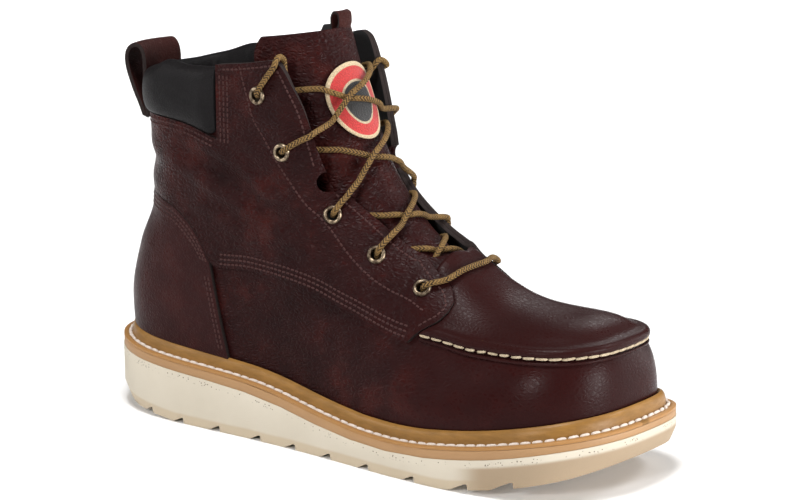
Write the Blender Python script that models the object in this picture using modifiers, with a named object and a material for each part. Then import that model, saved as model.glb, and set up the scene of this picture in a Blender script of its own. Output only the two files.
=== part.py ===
"""Lace-up safety boot with a moc toe and a wedge sole: the right boot of a pair.

Sizes are in millimetres until an object is made. "along" runs from the heel end of the sole to the toe,
"across" is positive on the inner (medial) side, and "height" starts at the floor.
"""

import math

import bmesh
import bpy
import numpy as np
from mathutils import Matrix, Vector

for thing in list(bpy.data.objects):
    bpy.data.objects.remove(thing, do_unlink=True)


def table(columns, *rows):
    """A table with named columns, a row for each place on the boot."""
    return dict(zip(columns.split(), np.array(rows, float).T))


# Driving sizes
SOLE_LENGTH = 302.0
MM = 0.001
GAP = 0.3
WALL = 1.8
OVERLAY = 1.5
PANEL_GAP = 0.6
LATERAL, MEDIAL = -1, 1

# Sole seen from above: how far the edge lies from the middle line on each side
SOLE_EDGE = table(
    "along lateral medial",
    (8, 19.6, 20),
    (25, 34, 33.6),
    (50, 41, 39),
    (85, 42.5, 39),
    (120, 44, 38.5),
    (150, 47, 39.5),
    (180, 51, 43),
    (205, 54, 48),
    (228, 55, 52.5),
    (250, 54, 54.8),
    (268, 50, 54.4),
    (283, 42, 50),
    (294, 29.5, 41),
    (300, 15, 28.5),
)
HEEL_END = (0.0, 0.0)
TOE_END = (SOLE_LENGTH, 8.0)

# Sole seen from the side: the tread, the top of the foam wedge, and the thickness of the midsole on it
SOLE_LEVELS = table(
    "along tread foam midsole",
    (0, 8.2, 29.5, 3.7),
    (10, 5.4, 29.2, 3.7),
    (24, 3.2, 28.5, 3.7),
    (36, 2.0, 27.6, 3.7),
    (50, 0.9, 26.7, 3.8),
    (64, 0, 25.8, 3.9),
    (95, 0, 23.8, 4.1),
    (110, 0, 22.4, 4.2),
    (124, 0, 20.4, 4.2),
    (138, 0, 17.7, 4.2),
    (153, 0, 15.1, 4.1),
    (167, 0, 13.4, 3.9),
    (180, 0, 12.4, 3.7),
    (195, 0, 12.1, 3.7),
    (210, 0, 12.6, 3.8),
    (225, 0, 14.0, 4.0),
    (246, 2.6, 16.9, 4.1),
    (265, 6, 20.4, 3.8),
    (285, 10.5, 24.4, 3.1),
    (302, 15.5, 27.3, 2.8),
)

# How far the foot of the upper stands in from the edge of the sole
WELT_WIDTH = table(
    "along width", (0, 8.5), (60, 8), (100, 7), (200, 7.2), (250, 7.8), (280, 8.6), (302, 9.2)
)

# Sections of the upper stand upright and fan out from a middle line. Ahead of the throat they close on
# a ridge.
TOE_PIVOT, HEEL_PIVOT, FAN_SOFTNESS = 258.0, 46.0, 12.0
MIDDLE_LINE = table("along across", (46, 0), (110, -1), (150, 0), (195, 2), (230, 4), (258, 6))
RIDGE = table(
    "along height",
    (198, 98.8),
    (201, 96.6),
    (210, 89.8),
    (219, 83.8),
    (228, 79.2),
    (236, 76.6),
    (247, 74.6),
    (258, 73.4),
)
# Behind the ridge each section stops at an edge: half the opening there, how high the edge is on the
# lateral side, and how much higher on the medial side
THROAT = 201.0
EDGE = table(
    "along opening height medial_rise",
    (8, 22.5, 166, 0),
    (20, 25, 166.5, 0),
    (34, 30, 168, 0.5),
    (46, 32.5, 170, 1),
    (60, 33.5, 172, 2),
    (83.2, 34.5, 173.5, 3.5),
    (84.8, 34.5, 179, 3.5),
    (100, 34.8, 181, 4.5),
    (112, 34.8, 183, 5.5),
    (118, 34.7, 184, 6),
    (122, 34.5, 182.5, 6),
    (125, 34, 178.5, 6),
    (128, 33.2, 172.5, 5.5),
    (133, 31.5, 162, 4.5),
    (136.5, 30.6, 152, 3),
    (139.5, 29.8, 142, 1.5),
    (142, 28.3, 134, 0.5),
    (147, 25.5, 126.5, 0),
    (153, 23, 120.8, 0),
    (160.5, 20.8, 114.7, 0),
    (168, 19.6, 109.2, 0),
    (175, 19, 104.4, 0),
    (185, 18.5, 98.6, 0),
    (192, 17, 96.1, 0),
    (196.5, 12, 96.4, 0),
    (199, 6.5, 96.9, 0),
    (201, 0, 96.6, 0),
)
# How square each section is, how far its foot tucks in, and how much of the heel's waist it takes
SECTION = table(
    "along squareness tuck waist",
    (8, 2.4, 0.6, 1.0),
    (25, 2.4, 0.6, 0.9),
    (50, 2.4, 0.8, 0.45),
    (85, 2.4, 1.0, 0.15),
    (120, 2.4, 1.2, 0.05),
    (150, 2.3, 1.2, 0),
    (200, 2.1, 1.2, 0),
    (235, 2.4, 1.2, 0),
    (265, 2.9, 1.0, 0),
    (293, 3.2, 1.0, 0),
)
# Heel seen from the side: how far the back goes in at each share of its height
HEEL_WAIST = table(
    "share inward", (0, 0), (0.17, -1), (0.36, 3), (0.52, 9), (0.7, 7), (0.85, 3.5), (1, 0)
)


def curve(rows, column):
    """A smooth curve through one column of a table, against its first, that never overshoots."""
    x = list(rows.values())[0]
    y = rows[column]
    width = np.diff(x)
    rise = np.diff(y) / width
    slope = np.concatenate([rise[:1], np.zeros(len(x) - 2), rise[-1:]])
    for i in range(1, len(x) - 1):
        if rise[i - 1] * rise[i] > 0:
            before = 2 * width[i] + width[i - 1]
            after = width[i] + 2 * width[i - 1]
            slope[i] = (before + after) / (before / rise[i - 1] + after / rise[i])

    def value(at):
        at = min(max(at, x[0]), x[-1])
        i = min(max(int(np.searchsorted(x, at)) - 1, 0), len(x) - 2)
        s = (at - x[i]) / width[i]
        bend = (1 - s) * slope[i] * (1 - s) * s * width[i] - s * slope[i + 1] * s * (1 - s) * width[i]
        return y[i] + (y[i + 1] - y[i]) * s * s * (3 - 2 * s) + bend

    return value


def closed_curve(points, spans):
    """Points along a smooth closed curve through the given ones, with this many spans between each two."""
    count = len(points)
    step = np.linalg.norm(np.roll(points, -1, axis=0) - points, axis=1)
    matrix = np.zeros((count, count))
    right = np.zeros((count, 2))
    for i in range(count):
        after = (i + 1) % count
        matrix[i, i - 1] = step[i]
        matrix[i, i] = 2 * (step[i - 1] + step[i])
        matrix[i, after] = step[i - 1]
        into = (points[i] - points[i - 1]) / step[i - 1]
        out = (points[after] - points[i]) / step[i]
        right[i] = 3 * (step[i] * into + step[i - 1] * out)
    slope = np.linalg.solve(matrix, right)
    found = []
    for i in range(count):
        after = (i + 1) % count
        for s in np.arange(spans) / spans:
            found.append(
                points[i] * (1 + 2 * s) * (1 - s) ** 2
                + points[after] * s * s * (3 - 2 * s)
                + slope[i] * step[i] * s * (1 - s) ** 2
                - slope[after] * step[i] * s * s * (1 - s)
            )
    return np.array(found)


tread_height = curve(SOLE_LEVELS, "tread")
foam_height = curve(SOLE_LEVELS, "foam")
midsole_thickness = curve(SOLE_LEVELS, "midsole")
welt_width = curve(WELT_WIDTH, "width")
middle_across = curve(MIDDLE_LINE, "across")
ridge_height = curve(RIDGE, "height")
edge_opening = curve(EDGE, "opening")
edge_height = curve(EDGE, "height")
medial_rise = curve(EDGE, "medial_rise")
squareness = curve(SECTION, "squareness")
foot_tuck = curve(SECTION, "tuck")
waist_share = curve(SECTION, "waist")
heel_waist = curve(HEEL_WAIST, "inward")


def sole_sides():
    """The sole's edge on each side from toe to heel: points, outward directions, and share of the way."""
    rows = list(zip(SOLE_EDGE["along"], SOLE_EDGE["lateral"], SOLE_EDGE["medial"]))
    points = [HEEL_END]
    points += [(along, -lateral) for along, lateral, medial in rows]
    points += [TOE_END]
    points += [(along, medial) for along, lateral, medial in reversed(rows)]
    edge = closed_curve(np.array(points, float), 24)
    ahead = np.roll(edge, -1, axis=0) - np.roll(edge, 1, axis=0)
    ahead /= np.linalg.norm(ahead, axis=1)[:, None]
    outward = np.stack([ahead[:, 1], -ahead[:, 0]], axis=1)
    start = int(np.argmin(edge[:, 0]))
    edge = np.roll(edge, -start, axis=0)
    outward = np.roll(outward, -start, axis=0)
    toe = int(np.argmax(edge[:, 0]))
    sides = {}
    for side, order in (
        (LATERAL, np.arange(toe, -1, -1)),
        (MEDIAL, np.append(np.arange(toe, len(edge)), 0)),
    ):
        line = edge[order]
        run = np.concatenate([[0], np.cumsum(np.linalg.norm(np.diff(line, axis=0), axis=1))])
        sides[side] = (line, outward[order], run / run[-1])
    return sides


SIDES = sole_sides()


def sole_point(side, share, inset=0.0):
    """A place on the sole's edge, or this far in from it. Share runs from 0 at the toe to 1 at the heel."""
    line, outward, shares = SIDES[side]
    point = np.array([np.interp(share, shares, line[:, i]) for i in (0, 1)])
    away = np.array([np.interp(share, shares, outward[:, i]) for i in (0, 1)])
    return point - away / np.linalg.norm(away) * inset


def feather(side, share):
    """The foot of the upper's wall, where it meets the welt."""
    along = sole_point(side, share)[0]
    return sole_point(side, share, welt_width(along))


def feather_table(side):
    shares = np.linspace(0, 1, 400)
    return shares, np.array([feather(side, share)[0] for share in shares])


FEATHERS = {side: feather_table(side) for side in (LATERAL, MEDIAL)}
FEATHER_TOE = min(alongs[0] for shares, alongs in FEATHERS.values())
FEATHER_HEEL = max(alongs[-1] for shares, alongs in FEATHERS.values())


def share_at(side, along):
    """How far round a side the upper's foot comes to this place along the boot."""
    shares, alongs = FEATHERS[side]
    return float(np.interp(-along, -alongs, shares))


def midsole_top(along):
    return foam_height(along) + midsole_thickness(along)


def soft_step(x):
    return max(x, 0.0) + math.log1p(math.exp(-abs(x)))


def pivot_along(foot):
    """Where on the middle line the section through this foot starts."""
    if foot > 150:
        return TOE_PIVOT - FAN_SOFTNESS * soft_step((TOE_PIVOT - foot) / FAN_SOFTNESS)
    return HEEL_PIVOT + FAN_SOFTNESS * soft_step((foot - HEEL_PIVOT) / FAN_SOFTNESS)


def section(turn):
    """One upright section of the upper. Turn goes from -1 to 1: heel, lateral, toe, medial, heel."""
    turn = (turn + 1) % 2 - 1
    side = LATERAL if turn < 0 else MEDIAL
    foot = feather(side, abs(turn))
    pivot = pivot_along(foot[0])
    middle = np.array([pivot, middle_across(pivot)])
    reach = np.linalg.norm(foot - middle)
    found = {"middle": middle, "out": (foot - middle) / reach, "reach": reach, "foot": foot[0]}
    found["low"] = midsole_top(foot[0]) + GAP
    found["square"] = squareness(foot[0])
    if foot[0] >= THROAT:
        found["opening"] = 0.0
        found["high"] = ridge_height(pivot)
    else:
        found["opening"] = edge_opening(foot[0])
        found["high"] = edge_height(foot[0]) + (medial_rise(foot[0]) if side == MEDIAL else 0)
    kept = min(found["opening"], 0.97 * reach)
    found["flare"] = found["opening"] - kept
    found["end"] = math.acos((kept / reach) ** (found["square"] / 2))
    return found


def wall_point(cut, up):
    """A point on the outside of the upper's wall: up runs from 0 at the foot to 1 at the edge or ridge."""
    angle = up * cut["end"]
    power = 2 / cut["square"]
    rise = (math.sin(angle) / math.sin(cut["end"])) ** power if up > 0 else 0.0
    out = cut["reach"] * max(math.cos(angle), 0.0) ** power if up < 1 or cut["opening"] > 0 else 0.0
    out += cut["flare"] * rise * rise
    out -= waist_share(cut["foot"]) * heel_waist(rise)
    out -= foot_tuck(cut["foot"]) * max(1 - rise / 0.2, 0.0) ** 2
    place = cut["middle"] + cut["out"] * out
    return np.array([place[0], place[1], cut["low"] + (cut["high"] - cut["low"]) * rise])


def up_at(cut, height):
    """How far up a section's wall this height is."""
    rise = min(max((height - cut["low"]) / (cut["high"] - cut["low"]), 0.0), 1.0)
    sine = math.sin(cut["end"]) * rise ** (cut["square"] / 2)
    return math.asin(min(sine, 1.0)) / cut["end"]


def upper_point(turn, up, lift=0.0):
    """A point on the upper, lifted off it along the surface's own outward direction."""
    cut = section(turn)
    point = wall_point(cut, up)
    if lift == 0.0:
        return point
    if up >= 1 and cut["opening"] == 0:
        slope = ridge_height(cut["middle"][0] + 0.5) - ridge_height(cut["middle"][0] - 0.5)
        return point + np.array([-slope, 0, 1]) / math.hypot(slope, 1) * lift
    near = min(max(up, 0.01), 0.985)
    step = 0.004
    round_it = wall_point(section(turn + step), near) - wall_point(section(turn - step), near)
    up_it = wall_point(cut, near + 0.01) - wall_point(cut, near - 0.01)
    away = np.cross(round_it, up_it)
    return point + away / np.linalg.norm(away) * lift


# Making objects
boot = bpy.data.collections.new("safety_boot")
cutters = bpy.data.collections.new("cutters")
bpy.context.scene.collection.children.link(boot)
bpy.context.scene.collection.children.link(cutters)


def material(name, colour, rough):
    made = bpy.data.materials.new(name)
    made.use_nodes = True
    shader = made.node_tree.nodes["Principled BSDF"]
    shader.inputs["Base Color"].default_value = (*colour, 1)
    shader.inputs["Roughness"].default_value = rough
    return made


def paint(data, look):
    """Gives a mesh or curve a material of its own, like the one named."""
    own = look.copy()
    own.name = f"{look.name}_{data.name}"
    data.materials.append(own)


def surface(name, points, faces, look, home=boot, weights=None):
    """An object from points in millimetres, with the sole's middle over the origin."""
    shape = bmesh.new()
    group = shape.verts.layers.deform.verify()
    made = [shape.verts.new(((x - SOLE_LENGTH / 2) * MM, y * MM, z * MM)) for x, y, z in points]
    for corner, weight in zip(made, weights or []):
        corner[group][0] = weight
    for face in faces:
        shape.faces.new([made[i] for i in face])
    bmesh.ops.remove_doubles(shape, verts=shape.verts, dist=1e-6)
    bmesh.ops.dissolve_degenerate(shape, edges=shape.edges, dist=1e-7)
    bmesh.ops.recalc_face_normals(shape, faces=shape.faces)
    mesh = bpy.data.meshes.new(name)
    shape.to_mesh(mesh)
    shape.free()
    made = bpy.data.objects.new(name, mesh)
    paint(mesh, look)
    if weights:
        made.vertex_groups.new(name="thick")
    home.objects.link(made)
    return made


def loft(rows, ring=False):
    """Points and faces of a surface drawn through rows of points. A ring's rows close on themselves."""
    rows = [list(row) for row in rows]
    width = len(rows[0])
    points = [point for row in rows for point in row]
    faces = []
    for i in range(len(rows) - 1):
        for j in range(width if ring else width - 1):
            k = (j + 1) % width
            faces.append((i * width + j, i * width + k, (i + 1) * width + k, (i + 1) * width + j))
    return points, faces


def thicken(made, thickness, outward=True):
    """Gives an open surface its thickness, away from the foot or towards it."""
    solid = made.modifiers.new("thickness", "SOLIDIFY")
    solid.thickness = thickness * MM
    solid.offset = 1 if outward else -1
    solid.use_even_offset = True
    solid.use_quality_normals = True
    return solid


def spaced(first, last, count, ease_first=False, ease_last=False):
    """Places from first to last, closer together at an end that eases."""
    share = np.linspace(0, 1, count)
    if ease_first:
        share = share * share
    if ease_last:
        share = 1 - (1 - share) ** 2
    return list(first + (last - first) * share)


# Sole
SOLE_SHARES = spaced(0, 0.34, 19)[:-1] + spaced(0.34, 0.78, 8)[:-1] + spaced(0.78, 1, 12)


def sole_layer(name, levels, look):
    """A layer of the sole: a ring of points at each level, closed by faces across top and bottom."""
    last = len(SOLE_SHARES) - 1
    rows = []
    for inset, height in levels:
        row = []
        for side, order in ((LATERAL, range(last + 1)), (MEDIAL, range(last - 1, 0, -1))):
            for i in order:
                edge = sole_point(side, SOLE_SHARES[i])
                distance = inset(edge[0]) if callable(inset) else inset
                place = sole_point(side, SOLE_SHARES[i], distance)
                row.append((place[0], place[1], height(edge[0])))
        rows.append(row)
    points, faces = loft(rows, ring=True)
    around = 2 * last
    for base in (0, (len(rows) - 1) * around):
        for i in range(last):
            face = [i, i + 1, (around - i - 1) % around, (around - i) % around]
            faces.append([base + corner for corner in dict.fromkeys(face)])
    return surface(name, points, faces, look)


foam_look = material("cream_foam", (0.83, 0.78, 0.66), 0.7)
midsole_look = material("tan_rubber", (0.72, 0.5, 0.3), 0.6)
welt_look = material("honey_welt", (0.58, 0.33, 0.1), 0.4)
insole_look = material("black_lining", (0.02, 0.02, 0.02), 0.9)
leather_look = material("burgundy_leather", (0.075, 0.02, 0.016), 0.45)

SHOULDER_HEIGHT = 6.5
TREAD_INSET = table("along inset", (0, 6), (12, 3.6), (30, 2), (50, 1.5), (240, 1.5), (285, 2.2), (302, 3.5))
outsole = sole_layer(
    "outsole",
    [
        (curve(TREAD_INSET, "inset"), tread_height),
        (0.3, lambda along: tread_height(along) + SHOULDER_HEIGHT),
        (0.0, foam_height),
    ],
    foam_look,
)
sole_layer(
    "midsole",
    [(0.3, lambda along: foam_height(along) + GAP), (0.3, midsole_top)],
    midsole_look,
)
INSOLE_THICKNESS, INSOLE_PLAY = 3.5, 2.4


def insole_inset(along):
    """How far in from the sole's edge the insole ends."""
    return welt_width(along) + WALL + INSOLE_PLAY


sole_layer(
    "insole",
    [
        (insole_inset, lambda along: midsole_top(along) + GAP),
        (insole_inset, lambda along: midsole_top(along) + GAP + INSOLE_THICKNESS),
    ],
    insole_look,
)

# Grooves across the tread: each rises slowly towards the toe and ends at the upright back of the next lug
GROOVE_PLACES = (42.5, 64.0, 87.5, 113.5, 136.0, 159.0, 183.5, 211.5, 241.5, 264.0)
GROOVE_RUN, GROOVE_FLAT, GROOVE_DEPTH, GROOVE_BELOW = 7.0, 1.3, 2.8, 5.0
groove_points = []
groove_faces = []
for place in GROOVE_PLACES:
    floor = tread_height(place)
    slope = (GROOVE_RUN - GROOVE_FLAT) / GROOVE_DEPTH
    profile = (
        (place - GROOVE_RUN - GROOVE_BELOW * slope, floor - GROOVE_BELOW),
        (place + 0.4, floor - GROOVE_BELOW),
        (place, floor + GROOVE_DEPTH),
        (place - GROOVE_FLAT, floor + GROOVE_DEPTH),
    )
    first = len(groove_points)
    groove_points += [(along, across, height) for across in (-70, 70) for along, height in profile]
    groove_faces += [(first, first + 1, first + 2, first + 3), (first + 4, first + 5, first + 6, first + 7)]
    for i in range(4):
        j = (i + 1) % 4
        groove_faces.append((first + i, first + j, first + 4 + j, first + 4 + i))
grooves = surface("tread_grooves", groove_points, groove_faces, foam_look, cutters)
grooves.hide_render = True
grooves.display_type = "WIRE"
cut_grooves = outsole.modifiers.new("grooves", "BOOLEAN")
cut_grooves.object = grooves
cut_grooves.operation = "DIFFERENCE"
cut_grooves.solver = "EXACT"

# Welt: a flat strip that reaches the sole's edge, with a bead against the upper
WELT_PROFILE = table(
    "across height",
    (0.0, 0.3),
    (1.0, 0.3),
    (1.0, 1.9),
    (0.46, 1.9),
    (0.36, 5.8),
    (0.14, 8.2),
    (0.0, 7.5),
)
welt_rows = []
for turn in [-share for share in reversed(SOLE_SHARES)][:-1] + SOLE_SHARES[:-1]:
    side = LATERAL if turn < 0 else MEDIAL
    edge = sole_point(side, abs(turn))
    cut = section(turn)
    row = []
    for across, height in zip(WELT_PROFILE["across"], WELT_PROFILE["height"]):
        level = midsole_top(edge[0]) + height
        wall = upper_point(turn, max(up_at(cut, level), 0.02), GAP + 0.1)
        far = np.array([*sole_point(side, abs(turn), 0.3), level])
        row.append(wall * (1 - across) + far * across + np.array([0, 0, (level - wall[2]) * (1 - across)]))
    welt_rows.append(row)
welt_rows.append(welt_rows[0])
surface("welt", *loft(welt_rows, ring=True), welt_look)

# Upper
UPPER_STATIONS = (
    spaced(FEATHER_TOE, 222, 13, ease_first=True)
    + [214, 206]
    + [201, 199, 196.5, 192, 185, 175, 164, 153, 147, 142, 138, 133, 128, 123.5, 118, 110, 98, 84.8]
    + [83.2, 71]
    + spaced(60, FEATHER_HEEL, 12, ease_last=True)
)
UPPER_LEVELS = [0, 0.13, 0.27, 0.38, 0.48, 0.6, 0.73, 0.86, 1]
upper_rows = []
for side, stations in ((LATERAL, UPPER_STATIONS), (MEDIAL, list(reversed(UPPER_STATIONS)))):
    for along in stations:
        cut = section(side * min(max(share_at(side, along), 0), 1))
        upper_rows.append([wall_point(cut, up) for up in UPPER_LEVELS])
upper = surface("upper", *loft(upper_rows), leather_look)
thicken(upper, WALL, outward=False)

# Panels sewn on the upper, each cut from the upper's own surface
overlay_look = material("burgundy_panel", (0.085, 0.022, 0.018), 0.45)
collar_look = material("black_collar", (0.012, 0.012, 0.013), 0.5)


def side_turn(side, along):
    return side * min(max(share_at(side, along), 0.0), 1.0)


def panel_point(side, along, height, lift):
    turn = side_turn(side, along)
    return upper_point(turn, up_at(section(turn), height), lift)


def column(side, along, low, high, levels, lift):
    """A row of points up the side of the upper between two heights."""
    turn = side_turn(side, along)
    cut = section(turn)
    first, last = up_at(cut, low), up_at(cut, high)
    return [upper_point(turn, first + (last - first) * i / (levels - 1), lift) for i in range(levels)]


# Moc toe: the plug lies on the vamp inside a seam, and its rim stands up along that seam
PLUG_SEAM = table("along height", (196, 67), (213, 65.5), (235, 63.5), (260, 64), (280, 65.5), (293, 66.5))
TAB_EDGE = table(
    "along height", (192, 96.1), (196.5, 92.6), (199, 90.9), (204, 87.5), (209, 83.8), (213.4, 78.5)
)
PLUG_BACK, TAB_FRONT = 199.0, 213.4
RIM_RISE = (1.0, 0.95, 0.3, 0.45, 0.5, 0.5)
plug_seam = curve(PLUG_SEAM, "height")
tab_edge = curve(TAB_EDGE, "height")
plug_rows = []
plug_rims = []
plug_stations = spaced(FEATHER_TOE, 222, 13, ease_first=True) + [218, 214.8, 214, 209, 204, PLUG_BACK]
for side in (LATERAL, MEDIAL):
    order = plug_stations if side == MEDIAL else list(reversed(plug_stations))
    for along in order:
        turn = side_turn(side, along)
        cut = section(turn)
        ahead = along > TAB_FRONT + 1
        first = up_at(cut, plug_seam(along) if ahead else tab_edge(along) + 0.9)
        steps = (0, 0.09, 0.2, 0.45, 0.72, 1)
        plug_rows.append([upper_point(turn, first + (1 - first) * step, 0.95) for step in steps])
        plug_rims += [rim if ahead else 0.5 for rim in RIM_RISE]
plug = surface("toe_plug", *loft(plug_rows), overlay_look, weights=plug_rims)
thicken(plug, 2 * OVERLAY).vertex_group = "thick"

# Counter: wraps the heel between a front edge that leans and a top edge that falls forward
COUNTER_TOP = table(
    "along height", (8, 108.5), (20, 108.5), (35, 108), (50, 105.7), (60, 101), (69.5, 93.7), (78.5, 81.5)
)
COUNTER_FRONT_LOW, COUNTER_FRONT_HIGH = 90.0, 78.5
counter_top = curve(COUNTER_TOP, "height")
counter_rows = []
for step in spaced(-1, 1, 25):
    side = LATERAL if step < 0 else MEDIAL
    ends = []
    for front, top in ((COUNTER_FRONT_LOW, False), (COUNTER_FRONT_HIGH, True)):
        turn = side * (1 - abs(step) * (1 - share_at(side, front)))
        cut = section(turn)
        height = counter_top(cut["foot"]) if top else midsole_top(cut["foot"]) + 9.0
        ends.append((turn, height))
    row = []
    for level in spaced(0, 1, 7):
        turn = ends[0][0] + (ends[1][0] - ends[0][0]) * level
        height = ends[0][1] + (ends[1][1] - ends[0][1]) * level
        row.append(upper_point(turn, up_at(section(turn), height), PANEL_GAP))
    counter_rows.append(row)
thicken(surface("counter", *loft(counter_rows), overlay_look), OVERLAY + 0.3)

# Backstay: a strip up the back from the counter to the collar
BACKSTAY_REACH = 0.026
COLLAR_LOW = table("along height", (8, 147.5), (25, 149.4), (45, 149.6), (61, 148.6), (83.2, 143.4))
collar_low = curve(COLLAR_LOW, "height")
backstay_rows = []
for step in spaced(-1, 1, 5):
    turn = (LATERAL if step < 0 else MEDIAL) * (1 - abs(step) * BACKSTAY_REACH)
    cut = section(turn)
    row = []
    for level in spaced(counter_top(8) + 0.7, collar_low(8) - 0.6, 5):
        row.append(upper_point(turn, up_at(cut, level), PANEL_GAP))
    backstay_rows.append(row)
thicken(surface("backstay", *loft(backstay_rows), overlay_look), OVERLAY)

# Quarters: the sides of the shaft with the eyelet flaps, from the backstay to a tab on the vamp
QUARTER_LOW = table(
    "along height",
    (78.5, 82.3),
    (83, 80.2),
    (102.8, 81.6),
    (118, 80.9),
    (134.3, 79),
    (163.8, 70.3),
    (193.7, 61.8),
    (198.5, 61.2),
    (202, 64.8),
    (207, 68.6),
    (211, 71.4),
    (213.4, 75),
)
quarter_low = curve(QUARTER_LOW, "height")
QUARTER_STATIONS = [11.4, 15, 21, 28, 35, 43, 50, 60, 69.5, 78.5, 83.6, 85.2, 98, 110, 118, 123.5, 128]
QUARTER_STATIONS += [133, 138, 142, 147, 153, 164, 175, 185, 192, 196.5, 199, 204, 209, 213.4]
for name, side in (("quarter_lateral", LATERAL), ("quarter_medial", MEDIAL)):
    rows = []
    for along in QUARTER_STATIONS:
        low = quarter_low(along) if along > 78 else counter_top(along) + 0.8
        if along < 84:
            high = collar_low(along) - 0.6
        elif along < 192:
            high = edge_height(along) + (medial_rise(along) if side == MEDIAL else 0)
        else:
            high = tab_edge(along)
        rows.append(column(side, along, low, high, 6, PANEL_GAP))
    thicken(surface(name, *loft(rows), overlay_look), OVERLAY)

# Collar: a pad over the rim at the back, from its lower edge outside to its lower edge inside
COLLAR_PROFILE = table(
    "share above lift",
    (0.0, 0.0, 0.45),
    (0.0, 0.3, 2.4),
    (0.15, 0, 4.4),
    (0.45, 0, 5.2),
    (0.8, 0, 4.8),
    (1.0, 1.5, 3.4),
    (1.0, 4.2, 0.6),
    (1.0, 4.0, -3.2),
    (1.0, 0.5, -5.4),
    (0.75, 0, -6.2),
    (0.35, 0, -5.6),
    (0.1, 0, -3.4),
    (0.1, -1, -WALL - 0.6),
    (0.6, 0, -WALL - 0.6),
    (1.0, 0.5, -WALL - 0.6),
    (1.0, 0.5, 0.6),
    (0.5, 0, 0.5),
)
COLLAR_FRONT = 82.8
collar_turns = [side_turn(LATERAL, along) for along in (COLLAR_FRONT, 70, 58, 47, 37, 29, 22, 16, 12, 9.6)]
collar_turns += [-1.0] + [-turn for turn in reversed(collar_turns)]
collar_rows = []
for number, turn in enumerate(collar_turns):
    if number > 10:
        turn = side_turn(MEDIAL, section(-turn)["foot"])
    cut = section(turn)
    low = collar_low(cut["foot"])
    row = []
    for share, above, lift in zip(*COLLAR_PROFILE.values()):
        height = low + share * (cut["high"] - low)
        point = upper_point(turn, up_at(cut, height), lift)
        row.append(point + np.array([0, 0, above]))
    collar_rows.append(row)
points, faces = loft(collar_rows, ring=True)
width = len(collar_rows[0])
faces += [list(range(width)), [len(points) - width + i for i in range(width)]]
surface("collar", points, faces, collar_look)

# Tongue: a sheet that follows the opening and curls round at its top, by its middle line, half its width,
# how far its edges fall back, and how steeply down they fall
TONGUE_THICKNESS = 2.2
TONGUE = table(
    "along height half depth fall",
    (131, 196.5, 26.5, 38, 8),
    (136, 182, 26, 35, 16),
    (142, 165.5, 25.5, 31, 20),
    (149, 147.5, 24.5, 28, 25),
    (158, 130, 22.5, 23, 32),
    (166, 119, 20.5, 18, 40),
    (176, 107.5, 19, 14.5, 48),
    (188, 98, 17, 11, 54),
    (197, 92.5, 14, 7, 58),
)
tongue_columns = {column: curve(TONGUE, column) for column in ("height", "half", "depth", "fall")}


def tongue_point(along, angle, lift=0.0):
    """A point on the tongue's outer face: angle is -90 at its lateral edge and 90 at its medial one."""
    half, depth = tongue_columns["half"](along), tongue_columns["depth"](along)
    fall = math.radians(tongue_columns["fall"](along))
    back = depth * (1 - math.cos(math.radians(angle)))
    height = tongue_columns["height"](along) - back * math.sin(fall)
    point = np.array([along - back * math.cos(fall), half * math.sin(math.radians(angle)), height])
    if lift:
        front = np.array([math.cos(fall), 0, math.sin(fall)])
        away = front * half * math.cos(math.radians(angle))
        away[1] = depth * math.sin(math.radians(angle))
        point = point + away / np.linalg.norm(away) * lift
    return point


tongue_rows = []
for along in (131, 133.5, 137, 142, 149, 158, 166, 176, 188, 197):
    trim = 14 if along == 131 else 3 if along < 134 else 0
    tongue_rows.append([tongue_point(along, angle) for angle in spaced(-90 + trim, 90 - trim, 11)])
tongue_points, tongue_faces = loft(tongue_rows)
thicken(surface("tongue", tongue_points, tongue_faces, leather_look), TONGUE_THICKNESS, outward=False)

# Patch on the tongue: an oval sewn on flat
PATCH_MIDDLE, PATCH_TALL, PATCH_WIDE, PATCH_THICKNESS = (143.2, -6.0), 6.8, 35.0, 0.9
patch_look = material("patch_cloth", (0.35, 0.06, 0.05), 0.8)
patch_rows = []
for share in (0.02, 0.5, 1):
    row = []
    for turn in spaced(0, 2 * math.pi, 17)[:-1]:
        along = PATCH_MIDDLE[0] + PATCH_TALL * share * math.cos(turn)
        wide = PATCH_WIDE * (1 - 0.16 * math.cos(turn))
        row.append(tongue_point(along, PATCH_MIDDLE[1] + wide * share * math.sin(turn), 0.6))
    patch_rows.append(row)
patch_points, patch_faces = loft(patch_rows, ring=True)
patch_faces.append(list(range(16)))
thicken(surface("tongue_patch", patch_points, patch_faces, patch_look), PATCH_THICKNESS)


def strap(name, path, lateral, medial, sag, thickness, look, close):
    """A strap that follows a path seen from the side, its edges set forward by the sag."""
    rows = []
    for along, height in path + (path[:1] if close else ()):
        row = []
        for across in spaced(lateral, medial, 5):
            share = 2 * (across - lateral) / (medial - lateral) - 1
            row.append((along + sag * share * share, across, height))
        rows.append(row)
    thicken(surface(name, *loft(rows), look), thickness)


# Loop at the top of the tongue, and the pull loop at the back
TONGUE_LOOP = ((134.4, 192.5), (133, 198.5), (131, 203), (128, 204), (126, 200.5), (126.2, 194.5))
strap("tongue_loop", TONGUE_LOOP, -6, 9, -1.6, 1.2, leather_look, close=False)
PULL_LOOP = (
    (13.6, 147),
    (10.8, 153),
    (7.0, 163),
    (6.5, 171),
    (9.3, 176.8),
    (13.4, 177),
    (15.0, 171.5),
    (15.0, 162),
    (14.6, 152),
)
strap("pull_loop", PULL_LOOP, -14, 14, 2.8, 1.5, leather_look, close=True)

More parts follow.
